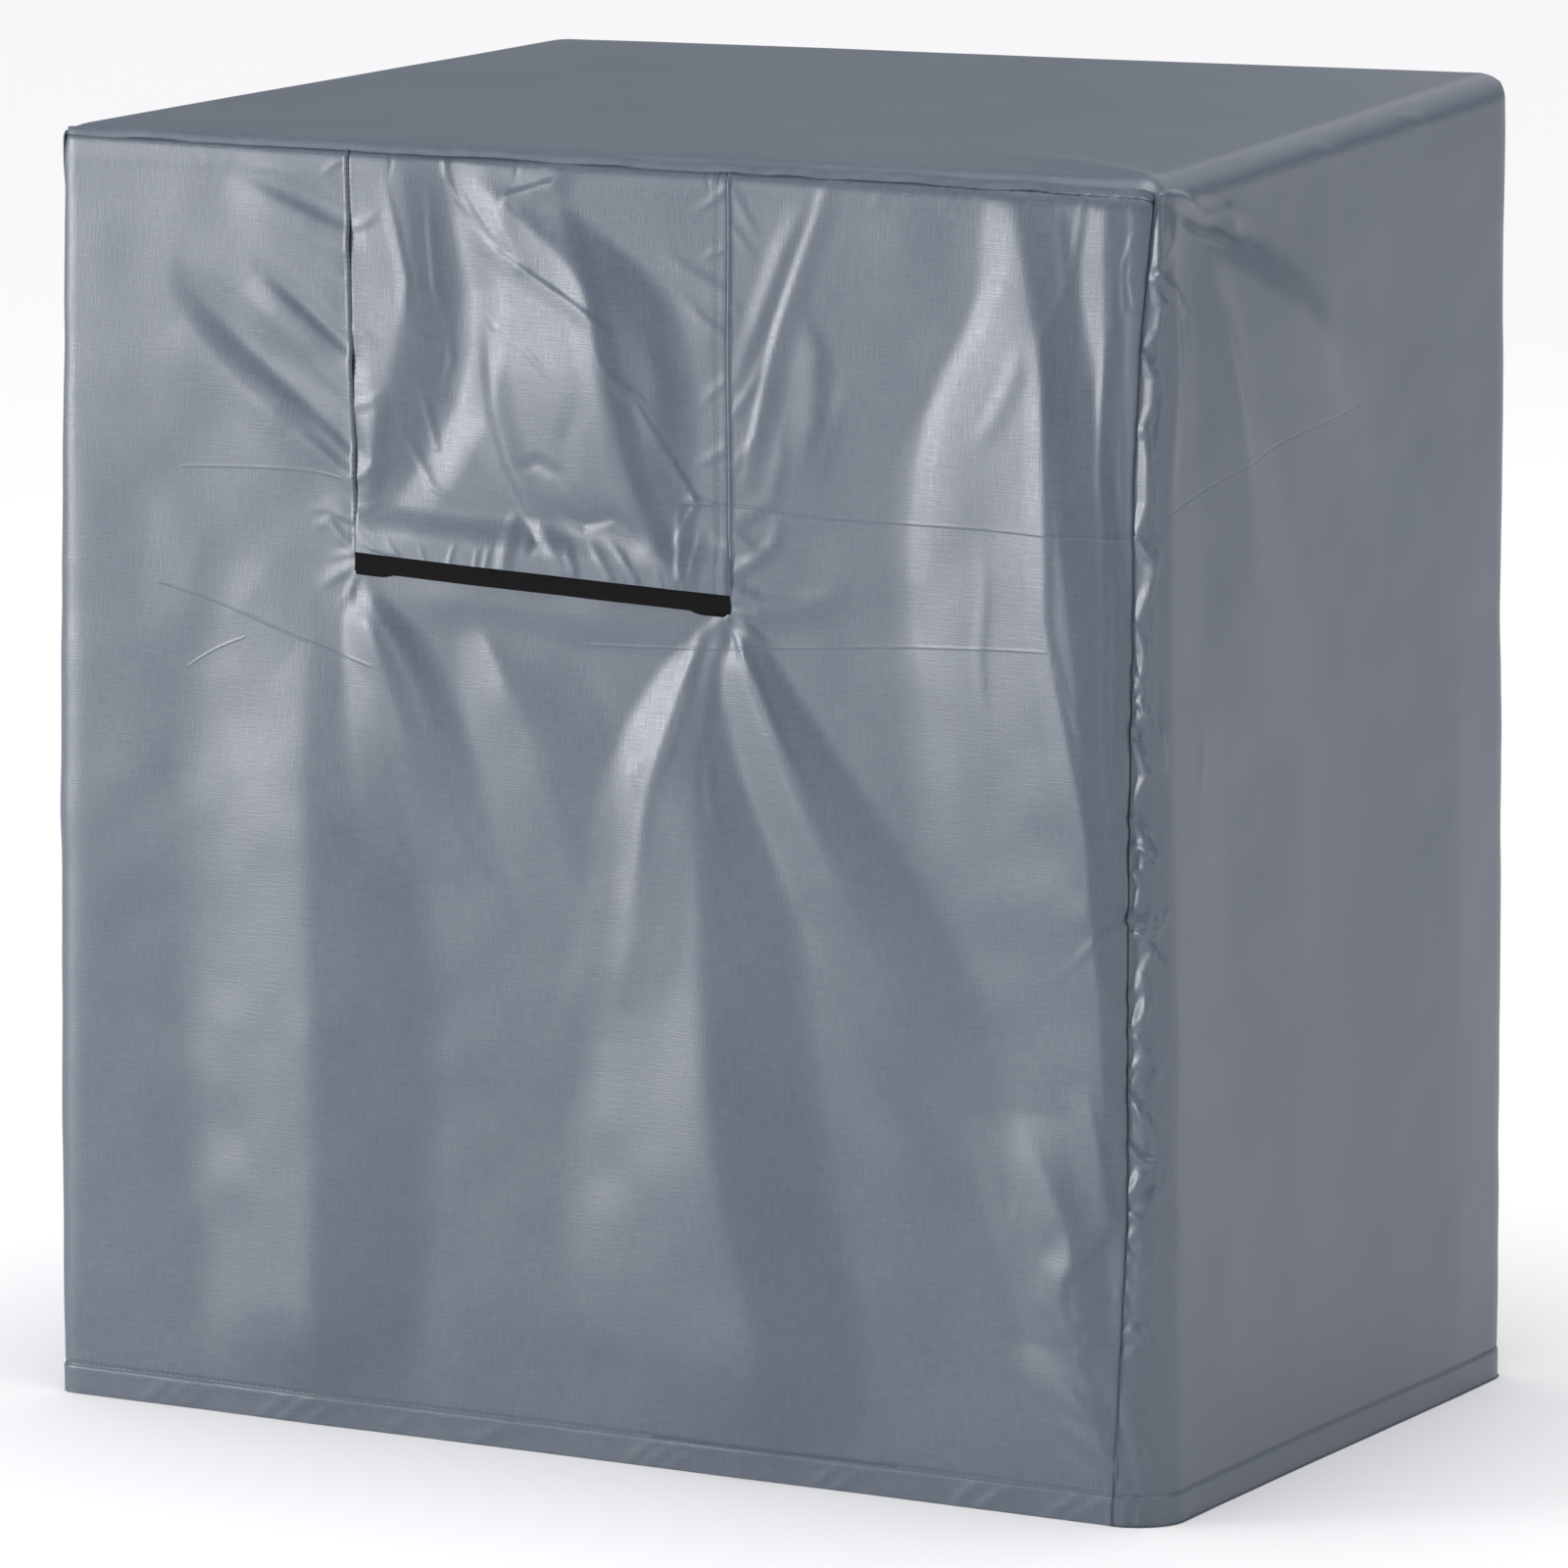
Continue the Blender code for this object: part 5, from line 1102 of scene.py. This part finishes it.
@dataclass
class ClothSheet:
    """One panel: a grid of places, cut where the mask says, given thickness."""

    name: str
    places: Array
    uv: Array
    material: bpy.types.Material
    nodes: tuple
    slot: str = "cover_cloth"
    cut: Union[Array, None] = None
    thickness: float = CLOTH
    flip: bool = False

    def build(self) -> bpy.types.Object:
        """Makes the object and hides the parts that it replaces.

        Returns:
            The finished object.
        """
        rows, columns = self.places.shape[:2]
        index = np.arange(rows * columns).reshape(rows, columns)
        quads = np.stack(
            [index[:-1, :-1], index[:-1, 1:], index[1:, 1:], index[1:, :-1]], axis=-1
        )
        if self.cut is not None:
            quads = quads[~self.cut]
        quads = quads.reshape(-1, 4)
        if not self.flip:
            quads = quads[:, ::-1]
        mesh = bpy.data.meshes.new(self.name)
        mesh.from_pydata(self.places.reshape(-1, 3).tolist(), [], quads.tolist())
        layer = mesh.uv_layers.new(name="cloth")
        flat = self.uv.reshape(-1, 2)[quads.reshape(-1)]
        layer.data.foreach_set("uv", flat.astype(np.float32).ravel())
        made = bpy.data.objects.new(self.name, mesh)
        bpy.context.scene.collection.objects.link(made)
        self.drop_loose(mesh)
        mesh.materials.append(self.material)
        solid = made.modifiers.new("thickness", "SOLIDIFY")
        solid.thickness = self.thickness
        solid.offset = -1.0
        solid.use_rim_only = True
        bpy.context.view_layer.objects.active = made
        with bpy.context.temp_override(object=made, active_object=made, selected_objects=[made]):
            bpy.ops.object.modifier_apply(modifier=solid.name)
        made.data.polygons.foreach_set("use_smooth", [True] * len(made.data.polygons))
        made.data.set_sharp_from_angle(angle=radians(60.0))
        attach(made, "root")
        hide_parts(*self.nodes)
        log.info("%s: %d faces", self.name, len(made.data.polygons))
        return made

    @staticmethod
    def drop_loose(mesh: bpy.types.Mesh) -> None:
        """Removes grid points that no face uses."""
        bm = bmesh.new()
        bm.from_mesh(mesh)
        loose = [vert for vert in bm.verts if not vert.link_faces]
        bmesh.ops.delete(bm, geom=loose, context="VERTS")
        bm.to_mesh(mesh)
        bm.free()


def hem_rows() -> Array:
    """Grid lines across the hem."""
    steps = np.array([-0.0040, -0.0026, -0.0013, 0.0, 0.0011, 0.0022, 0.0034, 0.0052, 0.0075])
    more = np.array([0.0100, 0.0128, 0.0156, 0.0184, 0.0203, 0.0215])
    return HEIGHT - HEM + np.concatenate([steps, more])


def front_rows() -> Array:
    """Grid lines down the front."""
    foot = SHAPE.strip_down + 0.002
    upper = graded(((SEAM_LINES[-1], 0.0020), (0.10, 0.0024), (foot, 0.0019)))
    lower = graded(((foot, 0.0019), (0.34, 0.0028), (0.62, 0.0036), (HEIGHT - HEM - 0.006, 0.0028)))
    return np.concatenate([SEAM_LINES[:-1], upper, lower[1:], hem_rows()])


def side_rows() -> Array:
    """Grid lines down the right side, close enough for the gathers at its corner."""
    body = graded(((SEAM_LINES[-1], 0.0016), (0.80, 0.0017), (HEIGHT - HEM - 0.006, 0.0028)))
    return np.concatenate([SEAM_LINES[:-1], body, hem_rows()])


def plain_rows() -> Array:
    """Coarser grid lines for the back and the left side."""
    body = graded(((SEAM_LINES[-1], 0.006), (0.1, 0.010), (0.85, 0.010), (HEIGHT - HEM - 0.008, 0.005)))
    return np.concatenate([SEAM_LINES[:-1], body, hem_rows()[::2]])


def hem_relief(down: Array) -> Array:
    """The doubled hem: a groove at its stitches and a slightly raised band."""
    off = down - (HEIGHT - HEM)
    groove = -HEM_GROOVE * np.exp(-((off / 0.0011) ** 2))
    return groove + HEM_RISE * smooth(off / 0.003)


def welt(off: Array, centre: float, half: float, height: float) -> Array:
    """A rounded ridge beside a seam."""
    share = np.clip(np.abs(off - centre) / half, 0.0, 1.0)
    return height * (1.0 - share * share) ** 2


def sunk(off: Array, depth: float, width: float) -> Array:
    """Cloth that turns inwards at its sewn edge."""
    return -depth * (1.0 - smooth(off / width))


def turned_in(down: Array) -> Array:
    """The front's top edge, which lies back under the top's piping."""
    return TOP_TUCK * (smooth(down / TOP_TUCK_RUN) - 1.0) + sunk(down, 0.0012, 0.0016)


@dataclass
class FrontPanel:
    """The front, one piece with a window for the flap."""

    material: bpy.types.Material
    window_lap: float = 0.002
    welt_off: float = 0.0012
    welt_height: float = 0.0011
    welt_half: float = 0.0017
    tuck: float = 0.0020
    seam_depth: float = 0.0022
    seam_width: float = 0.0036
    seam_fades_from: float = 0.790

    def columns(self) -> tuple:
        """Nominal grid lines across, and the indexes of the window's sides."""
        left_foot, right_foot = SHAPE.window_left_foot, SHAPE.window_right_foot
        rim = np.array(SEAM_LINES)
        first, last = -SHAPE.left_wrap, float(SHAPE.right_seam(np.array(0.5))) + self.tuck
        left = graded(((first + rim[-1], 0.0048), (0.13, 0.0040), (left_foot - rim[-1], 0.0020)))
        window = graded((
            (left_foot + rim[-1], 0.0028), (0.38, 0.0038), (0.47, 0.0028), (right_foot - rim[-1], 0.0024),
        ))
        right = graded((
            (right_foot + rim[-1], 0.0022), (0.60, 0.0032), (0.66, 0.0034), (0.76, 0.0026),
            (last - rim[-1], 0.0013),
        ))
        lines = np.concatenate([
            first + rim[:-1], left, left_foot - rim[-2::-1],
            left_foot + rim[1:-1], window, right_foot - rim[-2::-1],
            right_foot + rim[1:-1], right, last - rim[-2::-1],
        ])
        marks = [int(np.argmin(np.abs(lines - mark))) for mark in (left_foot, right_foot)]
        return lines, marks[0], marks[1]

    def grid(self) -> tuple:
        """Places around and down of every grid point."""
        lines, _, _ = self.columns()
        rows = front_rows()
        knots = np.array([lines[0], SHAPE.window_left_foot, SHAPE.window_right_foot, lines[-1]])
        around = np.empty((len(rows), len(lines)))
        for i, row in enumerate(rows):
            down = np.array(row)
            seams = [SHAPE.left_seam(down), SHAPE.window_left(down),
                     SHAPE.window_right(down), SHAPE.right_seam(down) + self.tuck]
            around[i] = np.interp(lines, knots, [float(seam) for seam in seams])
        foot = SHAPE.strip_down + self.window_lap
        above = rows / foot
        below = (HEIGHT - rows) / (HEIGHT - foot)
        share = np.where(rows <= foot, above, below)[:, None]
        share = share * np.clip(around / SHAPE.window_left_foot, 0.0, 1.0)
        down = rows[:, None] - (SHAPE.strip_down - SHAPE.strip_top(around)) * share
        return around, down

    def relief(self, around: Array, down: Array) -> Array:
        """Wrinkles, welts and the hem on top of the hung form."""
        lift = hem_relief(down) + SHAPE.wrinkled(FRONT_WRINKLES, around, down)
        above = 1.0 - smooth((down - SHAPE.strip_top(around) + 0.004) / 0.006)
        off_left = SHAPE.window_left(down) - around
        off_right = around - SHAPE.window_right(down)
        for off in (off_left, off_right):
            ridge = welt(off, self.welt_off, self.welt_half, self.welt_height)
            lift += ridge * (off > 0.0) * above
        fade = 1.0 - 0.8 * smooth((down - self.seam_fades_from) / 0.040)
        off_seam = SHAPE.right_seam(down) + self.tuck - around
        lift += sunk(off_seam, self.seam_depth, self.seam_width) * fade
        lift += turned_in(down)
        return lift

    def build(self) -> bpy.types.Object:
        """Makes the panel."""
        around, down = self.grid()
        places = SHAPE.on_wall(around, down, self.relief(around, down))
        _, first, last = self.columns()
        rows = front_rows()
        foot_row = int(np.argmin(np.abs(rows - SHAPE.strip_down - self.window_lap)))
        cut = np.zeros((len(rows) - 1, around.shape[1] - 1), bool)
        cut[:foot_row, first:last] = True
        made = ClothSheet(
            "front_panel_cloth", places, np.stack([around, -down], axis=-1), self.material,
            ("front_panel",), cut=cut,
        ).build()
        return made


@dataclass
class VentFlap:
    """The flap in the window, whose foot stands in front of its strip."""

    material: bpy.types.Material
    stand_run: float = 0.040
    lap: float = 0.013
    tuck: float = 0.0020
    seam_depth: float = 0.0014
    seam_width: float = 0.0030

    def build(self) -> bpy.types.Object:
        """Makes the flap."""
        rim = np.array(SEAM_LINES)
        first, last = SHAPE.window_left_foot - self.tuck, SHAPE.window_right_foot + self.tuck
        inner = graded(((first + rim[-1], 0.0015), (0.38, 0.0016), (last - rim[-1], 0.0015)))
        lines = np.concatenate([first + rim[:-1], inner, last - rim[-2::-1]])
        body = graded(((rim[-1], 0.0016), (SHAPE.strip_down - rim[-1], 0.0014)))
        rows = np.concatenate([rim[:-1], body, SHAPE.strip_down - rim[-2::-1]])
        share = (lines - first) / (last - first)
        left = SHAPE.window_left(rows)[:, None]
        right = SHAPE.window_right(rows)[:, None]
        around = left - self.tuck + (right - left + 2.0 * self.tuck) * share[None, :]
        lean = (SHAPE.strip_down - SHAPE.strip_top(around)) * rows[:, None] / SHAPE.strip_down
        down = rows[:, None] - lean
        stand = smooth((rows[:, None] - SHAPE.strip_down + self.stand_run) / (self.stand_run - self.lap))
        lift = stand * (SOLID_CLOTH + 2.0 * TAPE + 3.0 * GAP - 0.0012)
        lift = lift + SHAPE.wrinkled(FLAP_WRINKLES, around, down)
        for off in (around - left, right - around):
            lift += sunk(off + self.tuck, self.seam_depth, self.seam_width)
        lift += turned_in(down)
        off_row = right - STITCH_ROW_OFF - around
        lift -= STITCH_GROOVE * np.exp(-((off_row / 0.0010) ** 2))
        places = SHAPE.on_wall(around, down, lift)
        made = ClothSheet(
            "vent_flap_cloth", places, np.stack([around, -down], axis=-1), self.material,
            ("vent_flap",),
        ).build()
        last - first
        return made


@dataclass
class Gusset:
    """The strip up the left side, over the top and down the right side."""

    material: bpy.types.Material
    piping: float = 0.0015
    roll: float = 0.0050
    roll_rise: float = 0.013
    roll_fall: float = 0.034
    roll_ends_from: float = 0.76
    rim_turn: float = 0.0011
    rim_drop: float = 0.0046

    def shares(self) -> Array:
        """Grid lines from the front rim (0) to the back rim (1)."""
        rim = np.array(SEAM_LINES)
        whole = DEPTH + 0.024
        inner = graded((
            (rim[-1], 0.0015), (0.036, 0.0016), (0.070, 0.0040), (0.160, 0.0060), (0.240, 0.0120),
            (whole - rim[-1], 0.0090),
        ))
        return np.concatenate([rim[:-1], inner, whole - rim[-2::-2]]) / whole

    def build(self) -> bpy.types.Object:
        """Makes the strip."""
        rim = np.array(SEAM_LINES)
        edge = WIDTH / 2.0
        across_top = graded((
            (-edge + rim[-1], 0.006), (-edge + 0.05, 0.014), (edge - 0.10, 0.012), (edge - rim[-1], 0.004),
        ))
        top_rows = np.concatenate([-edge + rim[2:-1:2], across_top, edge - rim[-2:0:-1]])
        shares = self.shares()
        points, uvs = [], []
        for row in plain_rows()[::-1]:
            front = -float(SHAPE.left_seam(np.array(row)))
            around, down = -(front + (DEPTH - front) * shares), np.full(len(shares), row)
            points.append(SHAPE.on_wall(around, down, hem_relief(down)))
            uvs.append(np.stack([around, -down], axis=-1))
        for x in top_rows:
            at_x, y = np.full(len(shares), x), DEPTH * shares - DEPTH / 2.0
            points.append(SHAPE.on_top(at_x, y) + self.top_relief(at_x, y))
            uvs.append(np.stack([at_x + 2.0, y], axis=-1))
        rows = side_rows()
        front = SHAPE.right_seam(rows)[:, None]
        around = front + (BACK - front) * shares[None, :]
        down = np.broadcast_to(rows[:, None], around.shape)
        off = around - front
        puffs = 0.72 + 0.28 * soft_noise(down, 0.0 * down, 0.034, 31)
        fall = 1.0 - smooth((off - self.roll_rise) / self.roll_fall)
        roll = smooth(off / self.roll_rise) * fall * puffs
        lift = hem_relief(down) + SHAPE.wrinkled(GUSSET_WRINKLES, around, down, 1.0)
        ends = smooth(down / 0.040) * (1.0 - smooth((down - self.roll_ends_from) / 0.10))
        lift += self.roll * roll * ends
        places = np.concatenate([np.array(points), SHAPE.on_wall(around, down, lift)])
        uv = np.concatenate([np.array(uvs), np.stack([around, -down], axis=-1)])
        made = ClothSheet("gusset_cloth", places, uv, self.material, ("gusset",), flip=True).build()
        return made

    def top_relief(self, x: Array, y: Array) -> Array:
        """The wavy piping along the top's front seam, and the rim that turns down under it."""
        off = y + DEPTH / 2.0
        ridge = welt(off, 0.0014, 0.0026, self.piping)
        dip = -0.0010 * smooth((off - 0.003) / 0.004) * (1.0 - smooth((off - 0.008) / 0.012))
        wave = 0.0012 * soft_noise(x, 0.0 * x, 0.022, 21) * (1.0 - smooth(off / 0.014))
        up = np.zeros(x.shape + (3,))
        turned = 1.0 - smooth(off / self.rim_turn)
        up[..., 1] = -0.0010 * turned
        up[..., 2] = ridge + dip + wave - self.rim_drop * turned
        return up


@dataclass
class BackPanel:
    """The plain back."""

    material: bpy.types.Material
    seam_depth: float = 0.002
    seam_width: float = 0.003

    def build(self) -> bpy.types.Object:
        """Makes the panel."""
        rim = np.array(SEAM_LINES)
        lines = np.concatenate([
            BACK + rim[:-1],
            graded(((BACK + rim[-1], 0.004), (BACK + 0.06, 0.009),
                    (BACK_LEFT - 0.06, 0.009), (BACK_LEFT - rim[-1], 0.004))),
            BACK_LEFT - rim[-2::-1],
        ])
        around, down = np.meshgrid(lines, plain_rows())
        lift = hem_relief(down) + sunk(down, 0.0016, 0.003)
        for off in (around - BACK, BACK_LEFT - around):
            lift += sunk(off, self.seam_depth, self.seam_width)
        places = SHAPE.on_wall(around, down, lift)
        made = ClothSheet(
            "back_panel_cloth", places, np.stack([around, -down], axis=-1), self.material,
            ("back_panel",),
        ).build()
        return made


@dataclass
class ClosingStrip:
    """One of the two tapes under the flap's lower edge."""

    name: str
    node: str
    level: float
    top: float
    foot: float
    sag: float
    material: bpy.types.Material

    def build(self) -> bpy.types.Object:
        """Makes the tape."""
        first = SHAPE.window_left_foot - 0.001
        last = SHAPE.window_right_foot + 0.001
        lines = np.linspace(first, last, 150)
        rows = np.linspace(0.0, 1.0, 10)
        around, share = np.meshgrid(lines, rows)
        ends = np.minimum(around - first, last - around)
        foot = self.foot + self.sag * (1.0 - smooth((ends - 0.020) / 0.016))
        down = SHAPE.strip_top(around) + self.top + (foot - self.top) * share
        wave = 0.0003 * soft_noise(around, down, 0.021, 11)
        places = SHAPE.on_wall(around, down, self.level + TAPE + wave)
        made = ClothSheet(
            self.name, places, np.stack([around, -down], axis=-1), self.material, (self.node,),
            slot="strip", thickness=TAPE,
        ).build()
        width = self.foot + self.sag - self.top
        return made


@dataclass
class StitchRow:
    """Stitches along a line on the cover, one mesh of small thread humps."""

    name: str
    route: Callable
    length: float
    material: bpy.types.Material
    stitch: float = 0.0030
    pause: float = 0.0011
    thread: float = 0.00028
    sides: int = 5
    rings: int = 5

    def build(self) -> bpy.types.Object:
        """Makes the row."""
        pitch = self.stitch + self.pause
        count = int(self.length / pitch)
        spread = np.linspace(0.0, 1.0, self.rings)
        at = pitch * np.arange(count)[:, None] + self.stitch * spread
        centre, normal = self.route(at)
        hump = np.sin(pi * spread) * self.thread * 2.2 - self.thread * 0.6
        centre = centre + normal * hump[None, :, None]
        run = np.gradient(centre, axis=1)
        run /= np.linalg.norm(run, axis=2, keepdims=True)
        beside = np.cross(run, normal)
        turn = 2.0 * pi * np.arange(self.sides)[:, None] / self.sides
        rays = beside[:, :, None] * np.cos(turn) + normal[:, :, None] * np.sin(turn)
        points = (centre[:, :, None] + rays * self.thread).reshape(-1, 3)
        index = np.arange(len(points)).reshape(count, self.rings, self.sides)
        beyond = np.roll(index, -1, axis=2)
        quads = np.stack([index[:, :-1], beyond[:, :-1], beyond[:, 1:], index[:, 1:]], axis=-1)
        faces = quads.reshape(-1, 4).tolist()
        faces += index[:, 0, ::-1].tolist() + index[:, -1].tolist()
        mesh = bpy.data.meshes.new(self.name)
        mesh.from_pydata(points.tolist(), [], faces)
        mesh.materials.append(self.material)
        mesh.polygons.foreach_set("use_smooth", [True] * len(mesh.polygons))
        bm = bmesh.new()
        bm.from_mesh(mesh)
        bmesh.ops.recalc_face_normals(bm, faces=bm.faces[:])
        bm.to_mesh(mesh)
        bm.free()
        made = bpy.data.objects.new(self.name, mesh)
        bpy.context.scene.collection.objects.link(made)
        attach(made, "root")
        log.info("%s: %d stitches", self.name, count)
        return made


def wall_route(line: Callable, extra: Callable) -> Callable:
    """A stitch route on the walls.

    Args:
        line: Gives (around, down) at lengths along the row.
        extra: Gives the relief there.

    Returns:
        A function from lengths to places and outward directions.
    """

    def route(at: Array) -> tuple:
        """Places and outward directions at lengths along the row."""
        around, down = line(at)
        lift = extra(around, down)
        place = SHAPE.on_wall(around, down, lift)
        ahead = SHAPE.on_wall(around, down, lift + 0.001)
        return place, (ahead - place) / 0.001

    return route


class Lamp(NamedTuple):
    """A soft box: where it stands round the cover's middle, its size, power and colour."""

    name: str
    azimuth: float
    elevation: float
    distance: float
    size: tuple
    power: float
    colour: tuple


LAMPS = (
    Lamp("key_left", -47.0, 2.0, 7.0, (2.0, 2.6), 360.0, (1.0, 1.0, 1.0)),
    Lamp("fill_right", 75.0, 15.0, 4.0, (1.5, 2.5), 21.0, (0.97, 0.98, 1.0)),
    Lamp("behind_top", 177.0, 30.0, 5.0, (4.0, 2.0), 20.0, (1.0, 0.99, 1.0)),
)


@dataclass(frozen=True)
class Studio:
    """Pale floor, soft light and the camera at the photograph's angle."""

    hem_level: float = -0.918
    aim: tuple = (0.0, 0.0, -0.45)
    world_colour: tuple = (0.98, 0.97, 1.0, 1.0)
    world_strength: float = 0.32
    sun_azimuth: float = 0.0
    sun_elevation: float = 86.0
    sun_spread: float = 50.0
    sun_power: float = 2.5
    camera_place: tuple = (3.640, -6.249, 0.7212)
    camera_yaw: float = 0.5297
    camera_pitch: float = -0.1651
    lens_share: float = 6.57553
    sensor: float = 36.0
    floor_size: float = 120.0
    floor_colour: tuple = (0.86, 0.86, 0.87, 1.0)
    floor_roughness: float = 0.9

    def floor(self) -> None:
        """A wide pale floor under the hem."""
        bpy.ops.mesh.primitive_plane_add(
            size=self.floor_size, location=(0.0, 0.0, self.hem_level - 0.0005)
        )
        floor = bpy.context.object
        floor.name = "studio_floor"
        graph = Graph("pale_floor")
        graph.set("Base Color", self.floor_colour)
        graph.set("Roughness", self.floor_roughness)
        floor.data.materials.append(graph.material)

    @staticmethod
    def toward(azimuth: float, elevation: float) -> Vector:
        """The direction out of the cover to a light, from two angles in degrees."""
        turn, lift = radians(azimuth), radians(elevation)
        return Vector((sin(turn) * cos(lift), -cos(turn) * cos(lift), sin(lift)))

    @staticmethod
    def hang_light(data: bpy.types.Light, way: Vector, place: Vector) -> None:
        """Adds a light that stands at a place and shines against a direction."""
        light = bpy.data.objects.new(data.name, data)
        light.location = place
        light.rotation_euler = (-way).to_track_quat("-Z", "Y").to_euler()
        bpy.context.scene.collection.objects.link(light)

    def lights(self) -> None:
        """The soft room, the wide sun over the floor and the lamps."""
        world = bpy.data.worlds.new("soft_room")
        world.use_nodes = True
        background = world.node_tree.nodes["Background"]
        background.inputs["Color"].default_value = self.world_colour
        background.inputs["Strength"].default_value = self.world_strength
        bpy.context.scene.world = world
        data = bpy.data.lights.new("over_floor", "SUN")
        data.energy = self.sun_power
        data.angle = radians(self.sun_spread)
        self.hang_light(data, self.toward(self.sun_azimuth, self.sun_elevation), Vector())
        for lamp in LAMPS:
            data = bpy.data.lights.new(lamp.name, "AREA")
            data.shape = "RECTANGLE"
            data.size, data.size_y = lamp.size
            data.energy = lamp.power
            data.color = lamp.colour
            way = self.toward(lamp.azimuth, lamp.elevation)
            self.hang_light(data, way, Vector(self.aim) + way * lamp.distance)

    def build(self) -> None:
        """Makes the floor, the light and the camera."""
        self.floor()
        self.lights()
        scene = bpy.context.scene
        scene.view_settings.view_transform = "Standard"
        data = bpy.data.cameras.new("photo_view")
        data.sensor_width = self.sensor
        data.lens = self.sensor * self.lens_share
        camera = bpy.data.objects.new("photo_view", data)
        camera.location = self.camera_place
        camera.rotation_euler = Euler((pi / 2.0 + self.camera_pitch, 0.0, self.camera_yaw))
        scene.collection.objects.link(camera)
        scene.camera = camera


def sew(front: FrontPanel, thread: bpy.types.Material) -> None:
    """Makes the rows of stitches that show."""

    def flap_left(at: Array) -> tuple:
        """On the welt left of the flap."""
        down = 0.006 + at
        return SHAPE.window_left(down) - front.welt_off, down

    def flap_right(at: Array) -> tuple:
        """The second row, on the flap."""
        down = 0.006 + at
        return SHAPE.window_right(down) - STITCH_ROW_OFF, down

    def hem(at: Array) -> tuple:
        """Along the hem, round the whole cover."""
        return at + 0.004 - DEPTH, np.full_like(at, HEIGHT - HEM)

    def relief(around: Array, down: Array) -> Array:
        """Relief of the front under a row."""
        return front.relief(around, down) + 0.0002

    def level(around: Array, down: Array) -> Array:
        """Rows that lie in their own groove."""
        return SHAPE.wrinkled(FLAP_WRINKLES, around, down) - STITCH_GROOVE

    def hem_level(around: Array, down: Array) -> Array:
        """In the hem's groove."""
        return hem_relief(down) + SHAPE.wrinkled(FRONT_WRINKLES, around, down) * (around < RIGHT)

    StitchRow("stitches_flap_left", wall_route(flap_left, relief), 0.280, thread).build()
    StitchRow("stitches_flap_right", wall_route(flap_right, level), 0.270, thread).build()
    around_all = 2.0 * (WIDTH + DEPTH) - 0.010
    StitchRow("stitches_hem", wall_route(hem, hem_level), around_all, thread).build()


def main() -> None:
    """Builds the cover and the studio around it."""
    logging.basicConfig(level=logging.INFO, format="%(name)s: %(message)s")
    Studio().build()
    cloth = CoatedCloth("coated_cloth", creases=CREASES).build()
    plain_cloth = CoatedCloth("coated_cloth_plain").build()
    tape = StripTape("strip_tape").build()
    thread = SewingThread("sewing_thread").build()
    Gusset(cloth).build()
    front = FrontPanel(cloth)
    front.build()
    VentFlap(cloth).build()
    BackPanel(plain_cloth).build()
    front_level = GAP + TAPE + GAP
    ClosingStrip("flap_tape_strip", "flap_tape", front_level, -0.006, 0.0135, 0.0, tape).build()
    ClosingStrip("panel_tape_strip", "panel_tape", GAP, 0.003, 0.0128, 0.0032, tape).build()
    sew(front, thread)


if __name__ == "__main__":
    main()
